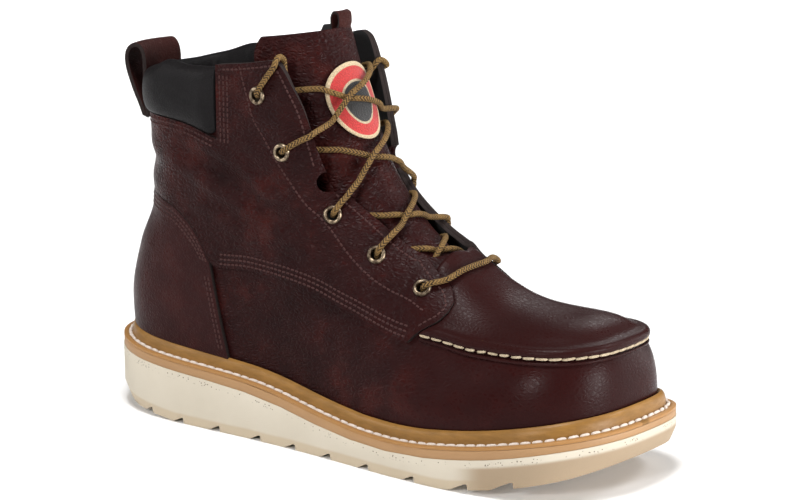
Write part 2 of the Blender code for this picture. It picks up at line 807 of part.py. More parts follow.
# Eyelets: five brass rings a side, each in a hole through flap and upper, and a notch in the flap's edge
eyelet_look = material("antique_brass", (0.2, 0.13, 0.07), 0.4)
eyelet_look.node_tree.nodes["Principled BSDF"].inputs["Metallic"].default_value = 1
EYELETS = table(
    "along height", (109.9, 166.8), (124.1, 141.3), (148.1, 113.1), (171.6, 96.1), (197.8, 83.6)
)
EYELET_SIDES, HOLE_SIDES, HOLE_RADIUS = 8, 6, 3.9
EYELET_PROFILE = table(
    "radius rise", (2.9, 1.4), (4.4, 1.3), (4.9, 0.5), (3.0, 0.5), (3.0, -3.3), (2.5, -3.3), (2.9, 1.4)
)
NOTCH_PLACE, NOTCH_RADIUS = (143.6, 130.2), 4.7
FLAP_FACE = PANEL_GAP + OVERLAY


def flap_frame(side, along, height):
    """Where a place on a flap's outer face is, in metres, with its Z axis out of the face."""
    point = panel_point(side, along, height, FLAP_FACE)
    away = Vector(point - panel_point(side, along, height, 0))
    point[0] -= SOLE_LENGTH / 2
    return Matrix.LocRotScale(Vector(point) * MM, away.to_track_quat("Z", "Y"), None)


holes = bmesh.new()
for side, word in ((LATERAL, "lateral"), (MEDIAL, "medial")):
    for number, (along, height) in enumerate(zip(*EYELETS.values()), 1):
        place = flap_frame(side, along, height)
        bmesh.ops.create_cone(
            holes,
            cap_ends=True,
            segments=HOLE_SIDES,
            radius1=HOLE_RADIUS * MM,
            radius2=HOLE_RADIUS * MM,
            depth=14 * MM,
            matrix=place,
        )
        profile = bpy.data.meshes.new(f"eyelet_{word}_{number}")
        corners = [(radius * MM, 0, rise * MM) for radius, rise in zip(*EYELET_PROFILE.values())]
        profile.from_pydata(corners[:-1], [(i, (i + 1) % 6) for i in range(6)], [])
        eyelet = bpy.data.objects.new(profile.name, profile)
        paint(profile, eyelet_look)
        boot.objects.link(eyelet)
        eyelet.matrix_world = place
        turned = eyelet.modifiers.new("turned", "SCREW")
        turned.steps = turned.render_steps = EYELET_SIDES
        turned.use_merge_vertices = True
        turned.merge_threshold = 0.00001
    bmesh.ops.create_cone(
        holes,
        cap_ends=True,
        segments=10,
        radius1=NOTCH_RADIUS * MM,
        radius2=NOTCH_RADIUS * MM,
        depth=14 * MM,
        matrix=flap_frame(side, *NOTCH_PLACE),
    )
hole_mesh = bpy.data.meshes.new("flap_holes")
holes.to_mesh(hole_mesh)
holes.free()
flap_holes = bpy.data.objects.new("flap_holes", hole_mesh)
flap_holes.hide_render = True
flap_holes.display_type = "WIRE"
cutters.objects.link(flap_holes)
for name in ("upper", "quarter_lateral", "quarter_medial"):
    cut_holes = bpy.data.objects[name].modifiers.new("holes", "BOOLEAN")
    cut_holes.object = flap_holes
    cut_holes.operation = "DIFFERENCE"
    cut_holes.solver = "EXACT"

# Lace: a bar across the lowest eyelets, crossings over the tongue, and two ends that go back into the shaft
LACE_RADIUS = 1.5
LACE_CLEAR = LACE_RADIUS + 0.45
ON_FLAP = FLAP_FACE + LACE_CLEAR
ON_TONGUE = LACE_CLEAR
ON_PATCH = 0.6 + PATCH_THICKNESS + LACE_CLEAR + 0.2
lace_look = material("flecked_lace", (0.42, 0.27, 0.1), 0.85)


def smooth_route(points, spacing):
    """Places spaced along a smooth curve through a route's points."""
    points = np.array(points)
    run = np.concatenate([[0], np.cumsum(np.linalg.norm(np.diff(points, axis=0), axis=1))])
    rows = table("run x y z", *np.column_stack([run, points]))
    count = max(int(round(run[-1] / spacing)), 2) + 1
    coordinates = [curve(rows, column) for column in ("x", "y", "z")]
    return [[coordinate(at) for coordinate in coordinates] for at in np.linspace(0, run[-1], count)]


def lace_tube(name, points, spacing=7.0):
    """A round cord as a curve with a bevel."""
    line = bpy.data.curves.new(name, "CURVE")
    line.dimensions = "3D"
    line.bevel_depth = LACE_RADIUS * MM
    line.bevel_resolution = 2
    line.use_fill_caps = True
    path = smooth_route(points, spacing)
    spline = line.splines.new("POLY")
    spline.points.add(len(path) - 1)
    for knot, (x, y, z) in zip(spline.points, path):
        knot.co = ((x - SOLE_LENGTH / 2) * MM, y * MM, z * MM, 1)
    made = bpy.data.objects.new(name, line)
    paint(line, lace_look)
    boot.objects.link(made)
    return made


def as_mesh(cord, home):
    """The same cord as a closed mesh, in place of its curve."""
    made = bpy.data.meshes.new_from_object(cord.evaluated_get(bpy.context.evaluated_depsgraph_get()))
    name = cord.name
    bpy.data.objects.remove(cord, do_unlink=True)
    welded = bmesh.new()
    welded.from_mesh(made)
    bmesh.ops.remove_doubles(welded, verts=welded.verts, dist=1e-6)
    welded.to_mesh(made)
    welded.free()
    solid = bpy.data.objects.new(name, made)
    home.objects.link(solid)
    return solid


def flap_top(side, along):
    """How high a flap's edge is."""
    if along > 192:
        return tab_edge(along)
    return edge_height(along) + (medial_rise(along) if side == MEDIAL else 0)


def from_eyelet(side, row, edge, lift=ON_FLAP):
    """Route from the rim of an eyelet to the flap's edge."""
    start = np.array([EYELETS["along"][row], EYELETS["height"][row]])
    goal = np.array([edge, flap_top(side, edge)])
    way = (goal - start) / np.linalg.norm(goal - start)
    rim = start + way * (EYELET_PROFILE["radius"].max() + 1)
    return [panel_point(side, *rim, ON_FLAP), panel_point(side, *goal, lift)]


def over_tongue(places, lift):
    """Route over the tongue through places given along it and round it."""
    route = [tongue_point(*places[0], lift)]
    for first, last in zip(places, places[1:]):
        steps = math.ceil(abs(last[1] - first[1]) / 20)
        for share in spaced(0, 1, steps + 1)[1:]:
            along, angle = (first[i] + (last[i] - first[i]) * share for i in (0, 1))
            route.append(tongue_point(along, angle, lift))
    return route


# Crossings, top to bottom, a cord of each from the lateral and from the medial side: the eyelets it comes
# from (none where it stays under the flaps), where it goes over their flap's edge, and its places along the
# tongue and round it on its own side, where the two cords cross, and on the far side
CROSSING_COLUMNS = "row edge near near_angle cross cross_angle far far_angle lift"
LATERAL_CORDS = table(
    CROSSING_COLUMNS,
    (1, 137, 145, -42, 142, -22, 137.5, 34, ON_PATCH),
    (2, 152, 157.5, -42, 153.5, -18, 147.5, 38, ON_PATCH),
    (3, 175, 174.5, -32, 172, -15, 165.5, 38, ON_TONGUE),
    (0, 0, 193, -38, 190, -12, 184, 36, ON_TONGUE),
)
MEDIAL_CORDS = table(
    CROSSING_COLUMNS,
    (1, 137, 145, 36, 142, -22, 139.5, -44, ON_PATCH),
    (2, 152, 157.5, 40, 153.5, -18, 150, -48, ON_PATCH),
    (3, 175, 174.5, 32, 172, -15, 169.5, -42, ON_TONGUE),
    (0, 0, 193, 36, 190, -12, 185.5, -40, ON_TONGUE),
)
for number in range(1, 5):
    cords = []
    for side, rows in ((LATERAL, LATERAL_CORDS), (MEDIAL, MEDIAL_CORDS)):
        row, edge, *places, lift = (values[number - 1] for values in rows.values())
        route = from_eyelet(side, int(row), edge, ON_FLAP + 1.1) if row else []
        route += over_tongue(list(zip(places[0::2], places[1::2])), lift)
        name = f"lace_cross_{number}" if side == LATERAL else f"second_cord_{number}"
        cords.append(as_mesh(lace_tube(name, route), boot if side == LATERAL else cutters))
    first, second = cords
    second.hide_render = True
    second.display_type = "WIRE"
    joined = first.modifiers.new("joined", "BOOLEAN")
    joined.object = second
    joined.operation = "UNION"
    joined.solver = "EXACT"

# Bar across the lowest eyelets, over the back of the plug
BAR_MIDDLE = 209.5
BAR_EDGE = {LATERAL: 206.0, MEDIAL: 205.0}
BAR_SHOULDER = {LATERAL: 208.3, MEDIAL: 207.0}
ON_PLUG = 0.95 + OVERLAY + LACE_CLEAR
bar_halves = {}
for side in (LATERAL, MEDIAL):
    turn = side_turn(side, BAR_SHOULDER[side])
    shoulder = (up_at(section(turn), tab_edge(BAR_SHOULDER[side])) + 1) / 2
    bar_halves[side] = from_eyelet(side, 4, BAR_EDGE[side], ON_FLAP + 0.8)
    bar_halves[side].append(upper_point(turn, shoulder, ON_PLUG + 0.3))
middle = upper_point(side_turn(LATERAL, BAR_MIDDLE), 1, ON_PLUG + 0.3)
lace_tube("lace_bar", bar_halves[LATERAL] + [middle] + bar_halves[MEDIAL][::-1])

# Lace ends: over the top of each flap and a little way down inside it
LACE_ENDS = table(
    "side edge inside_along inside_height", (LATERAL, 121.5, 123, 168), (MEDIAL, 130.0, 122, 168)
)
for side, edge, inside_along, inside_height in zip(*LACE_ENDS.values()):
    top = flap_top(side, edge)
    inside = -WALL - LACE_CLEAR - 0.2
    route = from_eyelet(side, 0, edge)
    route[-1] = panel_point(side, edge, top, ON_FLAP + 0.3) + np.array([0, 0, 0.5])
    route.append(panel_point(side, edge, top, 0.15) + np.array([0, 0, 4.4]))
    route.append(panel_point(side, edge, top, inside) + np.array([0, 0, 0.5]))
    route.append(panel_point(side, inside_along, inside_height, inside))
    lace_tube("lace_end_lateral" if side == LATERAL else "lace_end_medial", route, 3.5)
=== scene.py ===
"""Looks of a right safety boot: lace-up leather, moc toe, stitched welt and wedge sole.

Sizes are in millimetres until a mesh is made. "along" runs from the heel end of the sole to the toe,
"across" is positive on the inner side of the foot, and "height" starts at the floor.
"""

import math

import bpy
import numpy as np
from mathutils import Matrix, Vector
from mathutils.bvhtree import BVHTree


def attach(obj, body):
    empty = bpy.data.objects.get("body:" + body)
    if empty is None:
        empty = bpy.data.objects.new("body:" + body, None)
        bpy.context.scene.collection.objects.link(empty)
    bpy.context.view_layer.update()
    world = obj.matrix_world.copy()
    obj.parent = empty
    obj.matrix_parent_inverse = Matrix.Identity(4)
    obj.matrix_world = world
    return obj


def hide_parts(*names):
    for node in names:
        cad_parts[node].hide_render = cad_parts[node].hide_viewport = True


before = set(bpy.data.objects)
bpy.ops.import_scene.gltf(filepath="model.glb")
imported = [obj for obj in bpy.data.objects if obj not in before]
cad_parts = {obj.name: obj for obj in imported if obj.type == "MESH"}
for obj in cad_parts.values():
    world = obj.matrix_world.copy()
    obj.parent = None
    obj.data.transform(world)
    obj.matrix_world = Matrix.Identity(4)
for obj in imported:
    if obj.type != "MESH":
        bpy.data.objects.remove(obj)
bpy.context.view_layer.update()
bpy.ops.object.select_all(action="DESELECT")

# Camera: it stands on the boot's outer side, round towards the toe and a little above it, with a long
# lens as for a catalogue picture.
CAMERA_ROUND, CAMERA_ABOVE, CAMERA_AWAY = math.radians(36.5), math.radians(12.8), 1.45
CAMERA_AIM = Vector((0, 0, 0.09))
towards_camera = Vector(
    (
        math.sin(CAMERA_ROUND) * math.cos(CAMERA_ABOVE),
        -math.cos(CAMERA_ROUND) * math.cos(CAMERA_ABOVE),
        math.sin(CAMERA_ABOVE),
    )
)
bpy.ops.object.camera_add(location=CAMERA_AIM + towards_camera * CAMERA_AWAY)
camera = bpy.context.object
camera.rotation_euler = towards_camera.to_track_quat("Z", "Y").to_euler()
camera.data.lens = 137.1
camera.data.sensor_width = 36
camera.data.shift_x = 0.0301
camera.data.shift_y = 0.0034
bpy.context.scene.camera = camera

# Outsole: one wedge of cream foam rubber, moulded with ten grooves across its tread. The moulded side is
# matt, with dark specks of rubber under its top edge, and darker towards the tread and the toe.
MM = 0.001
SOLE_LENGTH = 302.0
LATERAL, MEDIAL = -1, 1


def table(columns, *rows):
    """A table with named columns, a row for each place on the boot."""
    return dict(zip(columns.split(), np.array(rows, float).T))


SOLE_EDGE = table(
    "along lateral medial",
    (8, 19.6, 20),
    (25, 34, 33.6),
    (50, 41, 39),
    (85, 42.5, 39),
    (120, 44, 38.5),
    (150, 47, 39.5),
    (180, 51, 43),
    (205, 54, 48),
    (228, 55, 52.5),
    (250, 54, 54.8),
    (268, 50, 54.4),
    (283, 42, 50),
    (294, 29.5, 41),
    (300, 15, 28.5),
)
HEEL_END = (0.0, 0.0)
TOE_END = (SOLE_LENGTH, 8.0)
SOLE_LEVELS = table(
    "along tread foam midsole",
    (0, 8.2, 29.5, 3.7),
    (10, 5.4, 29.2, 3.7),
    (24, 3.2, 28.5, 3.7),
    (36, 2.0, 27.6, 3.7),
    (50, 0.9, 26.7, 3.8),
    (64, 0, 25.8, 3.9),
    (95, 0, 23.8, 4.1),
    (110, 0, 22.4, 4.2),
    (124, 0, 20.4, 4.2),
    (138, 0, 17.7, 4.2),
    (153, 0, 15.1, 4.1),
    (167, 0, 13.4, 3.9),
    (180, 0, 12.4, 3.7),
    (195, 0, 12.1, 3.7),
    (210, 0, 12.6, 3.8),
    (225, 0, 14.0, 4.0),
    (246, 2.6, 16.9, 4.1),
    (265, 6, 20.4, 3.8),
    (285, 10.5, 24.4, 3.1),
    (302, 15.5, 27.3, 2.8),
)


def curve(rows, column):
    """A smooth curve through one column of a table, against its first, that never overshoots."""
    x = list(rows.values())[0]
    y = rows[column]
    width = np.diff(x)
    rise = np.diff(y) / width
    slope = np.concatenate([rise[:1], np.zeros(len(x) - 2), rise[-1:]])
    for i in range(1, len(x) - 1):
        if rise[i - 1] * rise[i] > 0:
            before = 2 * width[i] + width[i - 1]
            after = width[i] + 2 * width[i - 1]
            slope[i] = (before + after) / (before / rise[i - 1] + after / rise[i])

    def value(at):
        at = np.clip(at, x[0], x[-1])
        i = np.clip(np.searchsorted(x, at) - 1, 0, len(x) - 2)
        s = (at - x[i]) / width[i]
        bend = ((1 - s) * slope[i] - s * slope[i + 1]) * s * (1 - s) * width[i]
        return y[i] + (y[i + 1] - y[i]) * s * s * (3 - 2 * s) + bend

    return value


tread_height = curve(SOLE_LEVELS, "tread")
foam_height = curve(SOLE_LEVELS, "foam")
midsole_thickness = curve(SOLE_LEVELS, "midsole")


def pick(made):
    """Selects one object alone and makes it the active one."""
    bpy.ops.object.select_all(action="DESELECT")
    made.select_set(True)
    bpy.context.view_layer.objects.active = made


def copy_of_node(node, name):
    """A merged copy of a solid's mesh, as a piece of its own."""
    made = bpy.data.objects.new(name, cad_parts[node].data.copy())
    made.data.name = name
    made.data.materials.clear()
    bpy.context.scene.collection.objects.link(made)
    pick(made)
    bpy.ops.object.mode_set(mode="EDIT")
    bpy.ops.mesh.select_all(action="SELECT")
    bpy.ops.mesh.remove_doubles(threshold=0.000002)
    bpy.ops.mesh.dissolve_limited(angle_limit=math.radians(0.5))
    bpy.ops.object.mode_set(mode="OBJECT")
    return made


def shape_with(made, kind, **settings):
    """Adds a modifier with these settings and applies it."""
    pick(made)
    step = made.modifiers.new(kind.lower(), kind)
    for name, value in settings.items():
        setattr(step, name, value)
    bpy.ops.object.modifier_apply(modifier=step.name)


def soften(made, width, angle=50, segments=2, smooth=40):
    """Rounds the sharp edges of a piece and shades it smooth."""
    shape_with(
        made,
        "BEVEL",
        width=width * MM,
        segments=segments,
        limit_method="ANGLE",
        angle_limit=math.radians(angle),
    )
    pick(made)
    bpy.ops.object.shade_smooth_by_angle(angle=math.radians(smooth))


def note(made, name, values):
    """Keeps a number for each corner of a mesh, for its material to read."""
    made.data.attributes.new(name, "FLOAT", "POINT").data.foreach_set("value", np.asarray(values, float))


def corners_of(made):
    """A mesh's corners in millimetres, counted along the boot from its heel end."""
    found = np.empty(len(made.data.vertices) * 3)
    made.data.vertices.foreach_get("co", found)
    return found.reshape(-1, 3) / MM + np.array([SOLE_LENGTH / 2, 0, 0])


def in_frame(places):
    """Places in millimetres, counted from the heel end, as places in the frame's metres."""
    return (places - np.array([SOLE_LENGTH / 2, 0, 0])) * MM


def move_corners(made, corners):
    """Puts a mesh's corners at these places, in millimetres from the heel end."""
    made.data.vertices.foreach_set("co", in_frame(corners).reshape(-1))
    made.data.update()


def new_look(name, **sockets):
    """A material with these values on the sockets of its shader."""
    look = bpy.data.materials.new(name)
    look.use_nodes = True
    shader = look.node_tree.nodes["Principled BSDF"]
    for socket, value in sockets.items():
        shader.inputs[socket.replace("_", " ")].default_value = value
    return look, look.node_tree, shader


def wire(tree, kind, inputs=None, **settings):
    """Adds a shader node. Each input is a value, or another node's socket that it is joined to."""
    made = tree.nodes.new("ShaderNode" + kind)
    for name, value in settings.items():
        setattr(made, name, value)
    for name, value in (inputs or {}).items():
        if isinstance(value, bpy.types.NodeSocket):
            tree.links.new(value, made.inputs[name])
        else:
            made.inputs[name].default_value = value
    return made


def maths(tree, operation, first, second=0.5):
    return wire(tree, "Math", {0: first, 1: second}, operation=operation).outputs[0]


def spread(tree, value, low, high, to_low=0.0, to_high=1.0):
    """Turns a range of values softly into another."""
    ends = {"From Min": low, "From Max": high, "To Min": to_low, "To Max": to_high}
    return wire(tree, "MapRange", {"Value": value, **ends}, interpolation_type="SMOOTHSTEP").outputs[0]


def noise(tree, where, scale, detail=3.0, roughness=0.55):
    settings = {"Vector": where, "Scale": scale, "Detail": detail, "Roughness": roughness}
    return wire(tree, "TexNoise", settings).outputs["Fac"]


def blend(tree, share, first, second):
    """Mixes two colours."""
    inputs = {0: share}
    for place, colour in ((6, first), (7, second)):
        inputs[place] = colour if isinstance(colour, bpy.types.NodeSocket) else (*colour, 1)
    return wire(tree, "Mix", inputs, data_type="RGBA").outputs[2]


def object_place(tree):
    return wire(tree, "TexCoord").outputs["Object"]


def bump(tree, shader, height, strength, distance):
    """Gives the shader a fine relief from a height."""
    settings = {"Height": height, "Strength": strength, "Distance": distance}
    tree.links.new(wire(tree, "Bump", settings).outputs["Normal"], shader.inputs["Normal"])


def number_at(tree, name):
    return wire(tree, "Attribute", attribute_name=name).outputs["Fac"]


def dress(made, slot, *looks, replaces=()):
    """Gives a piece its materials and its place on the boot. Its slot is not used."""
    for look in looks:
        made.data.materials.append(look)
    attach(made, "root")
    if replaces:
        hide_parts(*replaces)


foam_look, tree, shader = new_look("cream_foam", Roughness=0.72, Specular_IOR_Level=0.3)
place = object_place(tree)
mottle = noise(tree, place, 38, 4)
below_top = number_at(tree, "below_top")
above_tread = maths(tree, "ADD", number_at(tree, "above_tread"), maths(tree, "MULTIPLY", mottle, 1.0))
forward = wire(tree, "SeparateXYZ", {0: place}).outputs["X"]
low_band = spread(tree, above_tread, 4.6, 6.2, 0.9, 0.0)
toe_share = maths(tree, "MULTIPLY", spread(tree, forward, 0.082, 0.1), spread(tree, below_top, 2.6, 4.6))
foam = blend(tree, mottle, (0.5, 0.445, 0.355), (0.585, 0.53, 0.435))
foam = blend(tree, low_band, foam, (0.47, 0.385, 0.275))
foam = blend(tree, toe_share, foam, (0.33, 0.247, 0.162))
flecks = wire(tree, "TexVoronoi", {"Vector": place, "Scale": 950.0})
fleck = spread(tree, flecks.outputs["Distance"], 0.22, 0.38, 1.0, 0.0)
chosen = wire(tree, "SeparateColor", {0: flecks.outputs["Color"]}).outputs[0]
chosen = maths(tree, "ADD", chosen, spread(tree, noise(tree, place, 85, 2), 0.35, 0.65, -0.5, 0.25))
chosen = spread(tree, chosen, 0.5, 0.56)
joint_band = maths(
    tree, "MULTIPLY", spread(tree, below_top, 0.6, 1.4), spread(tree, below_top, 1.6, 4.4, 1.0, 0.0)
)
fleck = maths(tree, "MULTIPLY", maths(tree, "MULTIPLY", fleck, chosen), joint_band)
foam = blend(tree, fleck, foam, (0.075, 0.055, 0.04))
tree.links.new(foam, shader.inputs["Base Color"])
pores = maths(tree, "ADD", noise(tree, place, 1500, 3), maths(tree, "MULTIPLY", mottle, 2.0))
bump(tree, shader, pores, 0.25, 0.0004)

outsole = copy_of_node("outsole", "outsole_wedge")
soften(outsole, 0.7, angle=38, smooth=35)
corners = corners_of(outsole)
note(outsole, "below_top", foam_height(corners[:, 0]) - corners[:, 2])
note(outsole, "above_tread", corners[:, 2] - tread_height(corners[:, 0]))
dress(outsole, "cream_foam", foam_look, replaces=["outsole"])

# Midsole: a thin layer of tan rubber between wedge and welt. It is glued to the wedge over its whole face,
# sewn to the welt, and trimmed flush with both.
GLUE_LINE = 0.27
midsole_look, tree, shader = new_look("tan_rubber", Roughness=0.55)
place = object_place(tree)
mottle = noise(tree, place, 55, 4)
tone = blend(tree, mottle, (0.315, 0.17, 0.07), (0.37, 0.208, 0.088))
tree.links.new(tone, shader.inputs["Base Color"])
bump(tree, shader, noise(tree, place, 1100, 3), 0.2, 0.0003)
midsole = copy_of_node("midsole", "midsole_layer")
soften(midsole, 0.15, angle=40, smooth=35)
corners = corners_of(midsole)
half_way = foam_height(corners[:, 0]) + midsole_thickness(corners[:, 0]) / 2
corners[:, 2] += np.where(corners[:, 2] > half_way, GLUE_LINE, -GLUE_LINE)
move_corners(midsole, corners)
dress(midsole, "tan_rubber", midsole_look, replaces=["midsole"])

# Insole: a shaped footbed of foam with a black cloth cover, laid loose inside on the midsole. It is cut
# a little longer and wider than its seat, so that its edge presses on the lining all round.
FOOTBED_LONGER = 1.011
FOOTBED_WIDER = 1.4
lining_look, tree, shader = new_look("black_lining", Roughness=0.9)
place = object_place(tree)
weave = wire(tree, "TexVoronoi", {"Vector": place, "Scale": 1400.0}).outputs["Distance"]
tone = blend(tree, noise(tree, place, 60), (0.006, 0.006, 0.0065), (0.02, 0.019, 0.0195))
tree.links.new(tone, shader.inputs["Base Color"])
bump(tree, shader, weave, 0.35, 0.0004)
insole = copy_of_node("insole", "footbed")
corners = corners_of(insole)
middle = SOLE_LENGTH / 2
corners[:, 0] = middle + (corners[:, 0] - middle) * FOOTBED_LONGER
corners[:, 1] += FOOTBED_WIDER * np.sign(corners[:, 1])
move_corners(insole, corners)
soften(insole, 1.2, angle=40, segments=3)
dress(insole, "black_lining", lining_look, replaces=["insole"])

# Upper: oiled burgundy leather, pulled wet over a last so that it is one hollow shell, tucked under and
# sewn to the welt at its foot. Its grain is pebbled on the shaft and pulled smooth over the toe.
WALL = 1.8
GAP = 0.3
WELT_WIDTH = table(
    "along width", (0, 8.5), (60, 8), (100, 7), (200, 7.2), (250, 7.8), (280, 8.6), (302, 9.2)
)
TOE_PIVOT, HEEL_PIVOT, FAN_MIDDLE, FAN_SOFTNESS = 258.0, 46.0, 150.0, 12.0
MIDDLE_LINE = table("along across", (46, 0), (110, -1), (150, 0), (195, 2), (230, 4), (258, 6))
RIDGE = table(
    "along height",
    (198, 98.8),
    (201, 96.6),
    (210, 89.8),
    (219, 83.8),
    (228, 79.2),
    (236, 76.6),
    (247, 74.6),
    (258, 73.4),
)
THROAT = 201.0
EDGE = table(
    "along opening height medial_rise",
    (8, 22.5, 166, 0),
    (20, 25, 166.5, 0),
    (34, 30, 168, 0.5),
    (46, 32.5, 170, 1),
    (60, 33.5, 172.8, 2),
    (72, 34.1, 176, 2.8),
    (84.8, 34.5, 179, 3.5),
    (100, 34.8, 181, 4.5),
    (112, 34.8, 183, 5.5),
    (118, 34.7, 184, 6),
    (122, 34.5, 182.5, 6),
    (125, 34, 178.5, 6),
    (128, 33.2, 172.5, 5.5),
    (133, 31.5, 162, 4.5),
    (136.5, 30.6, 152, 3),
    (139.5, 29.8, 142, 1.5),
    (142, 28.3, 134, 0.5),
    (147, 25.5, 126.5, 0),
    (153, 23, 120.8, 0),
    (160.5, 20.8, 114.7, 0),
    (168, 19.6, 109.2, 0),
    (175, 19, 104.4, 0),
    (185, 18.5, 98.6, 0),
    (192, 17, 96.1, 0),
    (196.5, 12, 96.4, 0),
    (199, 6.5, 96.9, 0),
    (201, 0, 96.6, 0),
)
SECTION = table(
    "along squareness tuck waist",
    (8, 2.4, 0.6, 1.0),
    (25, 2.4, 0.6, 0.9),
    (50, 2.4, 0.8, 0.45),
    (85, 2.4, 1.0, 0.15),
    (120, 2.4, 1.2, 0.05),
    (150, 2.3, 1.2, 0),
    (200, 2.1, 1.2, 0),
    (235, 2.4, 1.2, 0),
    (265, 2.9, 1.0, 0),
    (293, 3.2, 1.0, 0),
)
HEEL_WAIST = table(
    "share inward", (0, 0), (0.17, -1), (0.36, 3), (0.52, 9), (0.7, 7), (0.85, 3.5), (1, 0)
)
welt_width = curve(WELT_WIDTH, "width")
middle_across = curve(MIDDLE_LINE, "across")
ridge_height = curve(RIDGE, "height")
edge_opening = curve(EDGE, "opening")
edge_height = curve(EDGE, "height")
medial_rise = curve(EDGE, "medial_rise")
squareness = curve(SECTION, "squareness")
foot_tuck = curve(SECTION, "tuck")
waist_share = curve(SECTION, "waist")
heel_waist = curve(HEEL_WAIST, "inward")


def run_along(line):
    """How far along a line of points each one is."""
    return np.concatenate([[0], np.cumsum(np.linalg.norm(np.diff(line, axis=0), axis=1))])


def closed_curve(points, spans):
    """Points along a smooth closed curve through the given ones, with this many spans between each two."""
    count = len(points)
    step = np.linalg.norm(np.roll(points, -1, axis=0) - points, axis=1)
    matrix = np.zeros((count, count))
    right = np.zeros((count, 2))
    for i in range(count):
        after = (i + 1) % count
        matrix[i, i - 1] = step[i]
        matrix[i, i] = 2 * (step[i - 1] + step[i])
        matrix[i, after] = step[i - 1]
        into = (points[i] - points[i - 1]) / step[i - 1]
        out = (points[after] - points[i]) / step[i]
        right[i] = 3 * (step[i] * into + step[i - 1] * out)
    slope = np.linalg.solve(matrix, right)
    found = []
    for i in range(count):
        after = (i + 1) % count
        for s in np.arange(spans) / spans:
            found.append(
                points[i] * (1 + 2 * s) * (1 - s) ** 2
                + points[after] * s * s * (3 - 2 * s)
                + slope[i] * step[i] * s * (1 - s) ** 2
                - slope[after] * step[i] * s * s * (1 - s)
            )
    return np.array(found)


def sole_sides():
    """The sole's edge on each side from toe to heel: points, outward directions, and share of the way."""
    rows = list(zip(*SOLE_EDGE.values()))
    points = [HEEL_END]
    points += [(along, -lateral) for along, lateral, medial in rows]
    points += [TOE_END]
    points += [(along, medial) for along, lateral, medial in reversed(rows)]
    edge = closed_curve(np.array(points, float), 24)
    ahead = np.roll(edge, -1, axis=0) - np.roll(edge, 1, axis=0)
    ahead /= np.linalg.norm(ahead, axis=1)[:, None]
    outward = np.stack([ahead[:, 1], -ahead[:, 0]], axis=1)
    start = int(np.argmin(edge[:, 0]))
    edge = np.roll(edge, -start, axis=0)
    outward = np.roll(outward, -start, axis=0)
    toe = int(np.argmax(edge[:, 0]))
    sides = {}
    for side, order in (
        (LATERAL, np.arange(toe, -1, -1)),
        (MEDIAL, np.append(np.arange(toe, len(edge)), 0)),
    ):
        line = edge[order]
        run = run_along(line)
        sides[side] = (line, outward[order], run / run[-1])
    return sides


SIDES = sole_sides()


def sole_point(side, share, inset=0.0):
    """A place on the sole's edge, or this far in from it. Share runs from 0 at the toe to 1 at the heel."""
    line, outward, shares = SIDES[side]
    point = np.array([np.interp(share, shares, line[:, i]) for i in (0, 1)])
    away = np.array([np.interp(share, shares, outward[:, i]) for i in (0, 1)])
    return point - away / np.linalg.norm(away) * inset


def feather(side, share):
    """The foot of the upper's wall, where it meets the welt."""
    return sole_point(side, share, welt_width(sole_point(side, share)[0]))


FEATHER_SHARES = np.linspace(0, 1, 400)
FEATHERS = {
    side: np.array([feather(side, share)[0] for share in FEATHER_SHARES]) for side in (LATERAL, MEDIAL)
}
FEATHER_TOE = min(alongs[0] for alongs in FEATHERS.values())
FEATHER_HEEL = max(alongs[-1] for alongs in FEATHERS.values())


def side_turn(side, along):
    """How far round the boot a place along one side is: -1 heel, lateral, 0 toe, medial, 1 heel."""
    return side * float(np.interp(-along, -FEATHERS[side], FEATHER_SHARES))


def midsole_top(along):
    return foam_height(along) + midsole_thickness(along)


def soft_step(x):
    return max(x, 0.0) + math.log1p(math.exp(-abs(x)))


def pivot_along(foot):
    """Where on the middle line the section through this foot starts."""
    if foot > FAN_MIDDLE:
        return TOE_PIVOT - FAN_SOFTNESS * soft_step((TOE_PIVOT - foot) / FAN_SOFTNESS)
    return HEEL_PIVOT + FAN_SOFTNESS * soft_step((foot - HEEL_PIVOT) / FAN_SOFTNESS)


def side_rise(side, along):
    """How much higher the opening's edge is on this side than on the lateral one."""
    return medial_rise(along) if side == MEDIAL else 0


def section(turn):
    """One upright section of the last, at a turn round the boot."""
    turn = (turn + 1) % 2 - 1
    side = LATERAL if turn < 0 else MEDIAL
    foot = feather(side, abs(turn))
    pivot = pivot_along(foot[0])
    middle = np.array([pivot, middle_across(pivot)])
    reach = np.linalg.norm(foot - middle)
    found = {"middle": middle, "out": (foot - middle) / reach, "reach": reach, "foot": foot[0]}
    found["low"] = midsole_top(foot[0]) + GAP
    found["square"] = squareness(foot[0])
    if foot[0] >= THROAT:
        found["opening"] = 0.0
        found["high"] = ridge_height(pivot)
    else:
        found["opening"] = edge_opening(foot[0])
        found["high"] = edge_height(foot[0]) + side_rise(side, foot[0])
    kept = min(found["opening"], 0.97 * reach)
    found["flare"] = found["opening"] - kept
    found["end"] = math.acos((kept / reach) ** (found["square"] / 2))
    return found


TUCK_SHARE = 0.2


def wall(cut, ups):
    """Points up the outside of the last in a section, from 0 at the foot to 1 at the edge or ridge."""
    angle = np.asarray(ups, float) * cut["end"]
    power = 2 / cut["square"]
    rise = (np.sin(angle) / math.sin(cut["end"])) ** power
    out = cut["reach"] * np.maximum(np.cos(angle), 0.0) ** power
    out = out + cut["flare"] * rise * rise
    out -= waist_share(cut["foot"]) * heel_waist(rise)
    out -= foot_tuck(cut["foot"]) * np.maximum(1 - rise / TUCK_SHARE, 0.0) ** 2
    place = cut["middle"] + cut["out"] * out[:, None]
    return np.column_stack([place, cut["low"] + (cut["high"] - cut["low"]) * rise])


def up_at(cut, height):
    """How far up a section this height is."""
    rise = min(max((height - cut["low"]) / (cut["high"] - cut["low"]), 0.0), 1.0)
    sine = math.sin(cut["end"]) * rise ** (cut["square"] / 2)
    return math.asin(min(sine, 1.0)) / cut["end"]


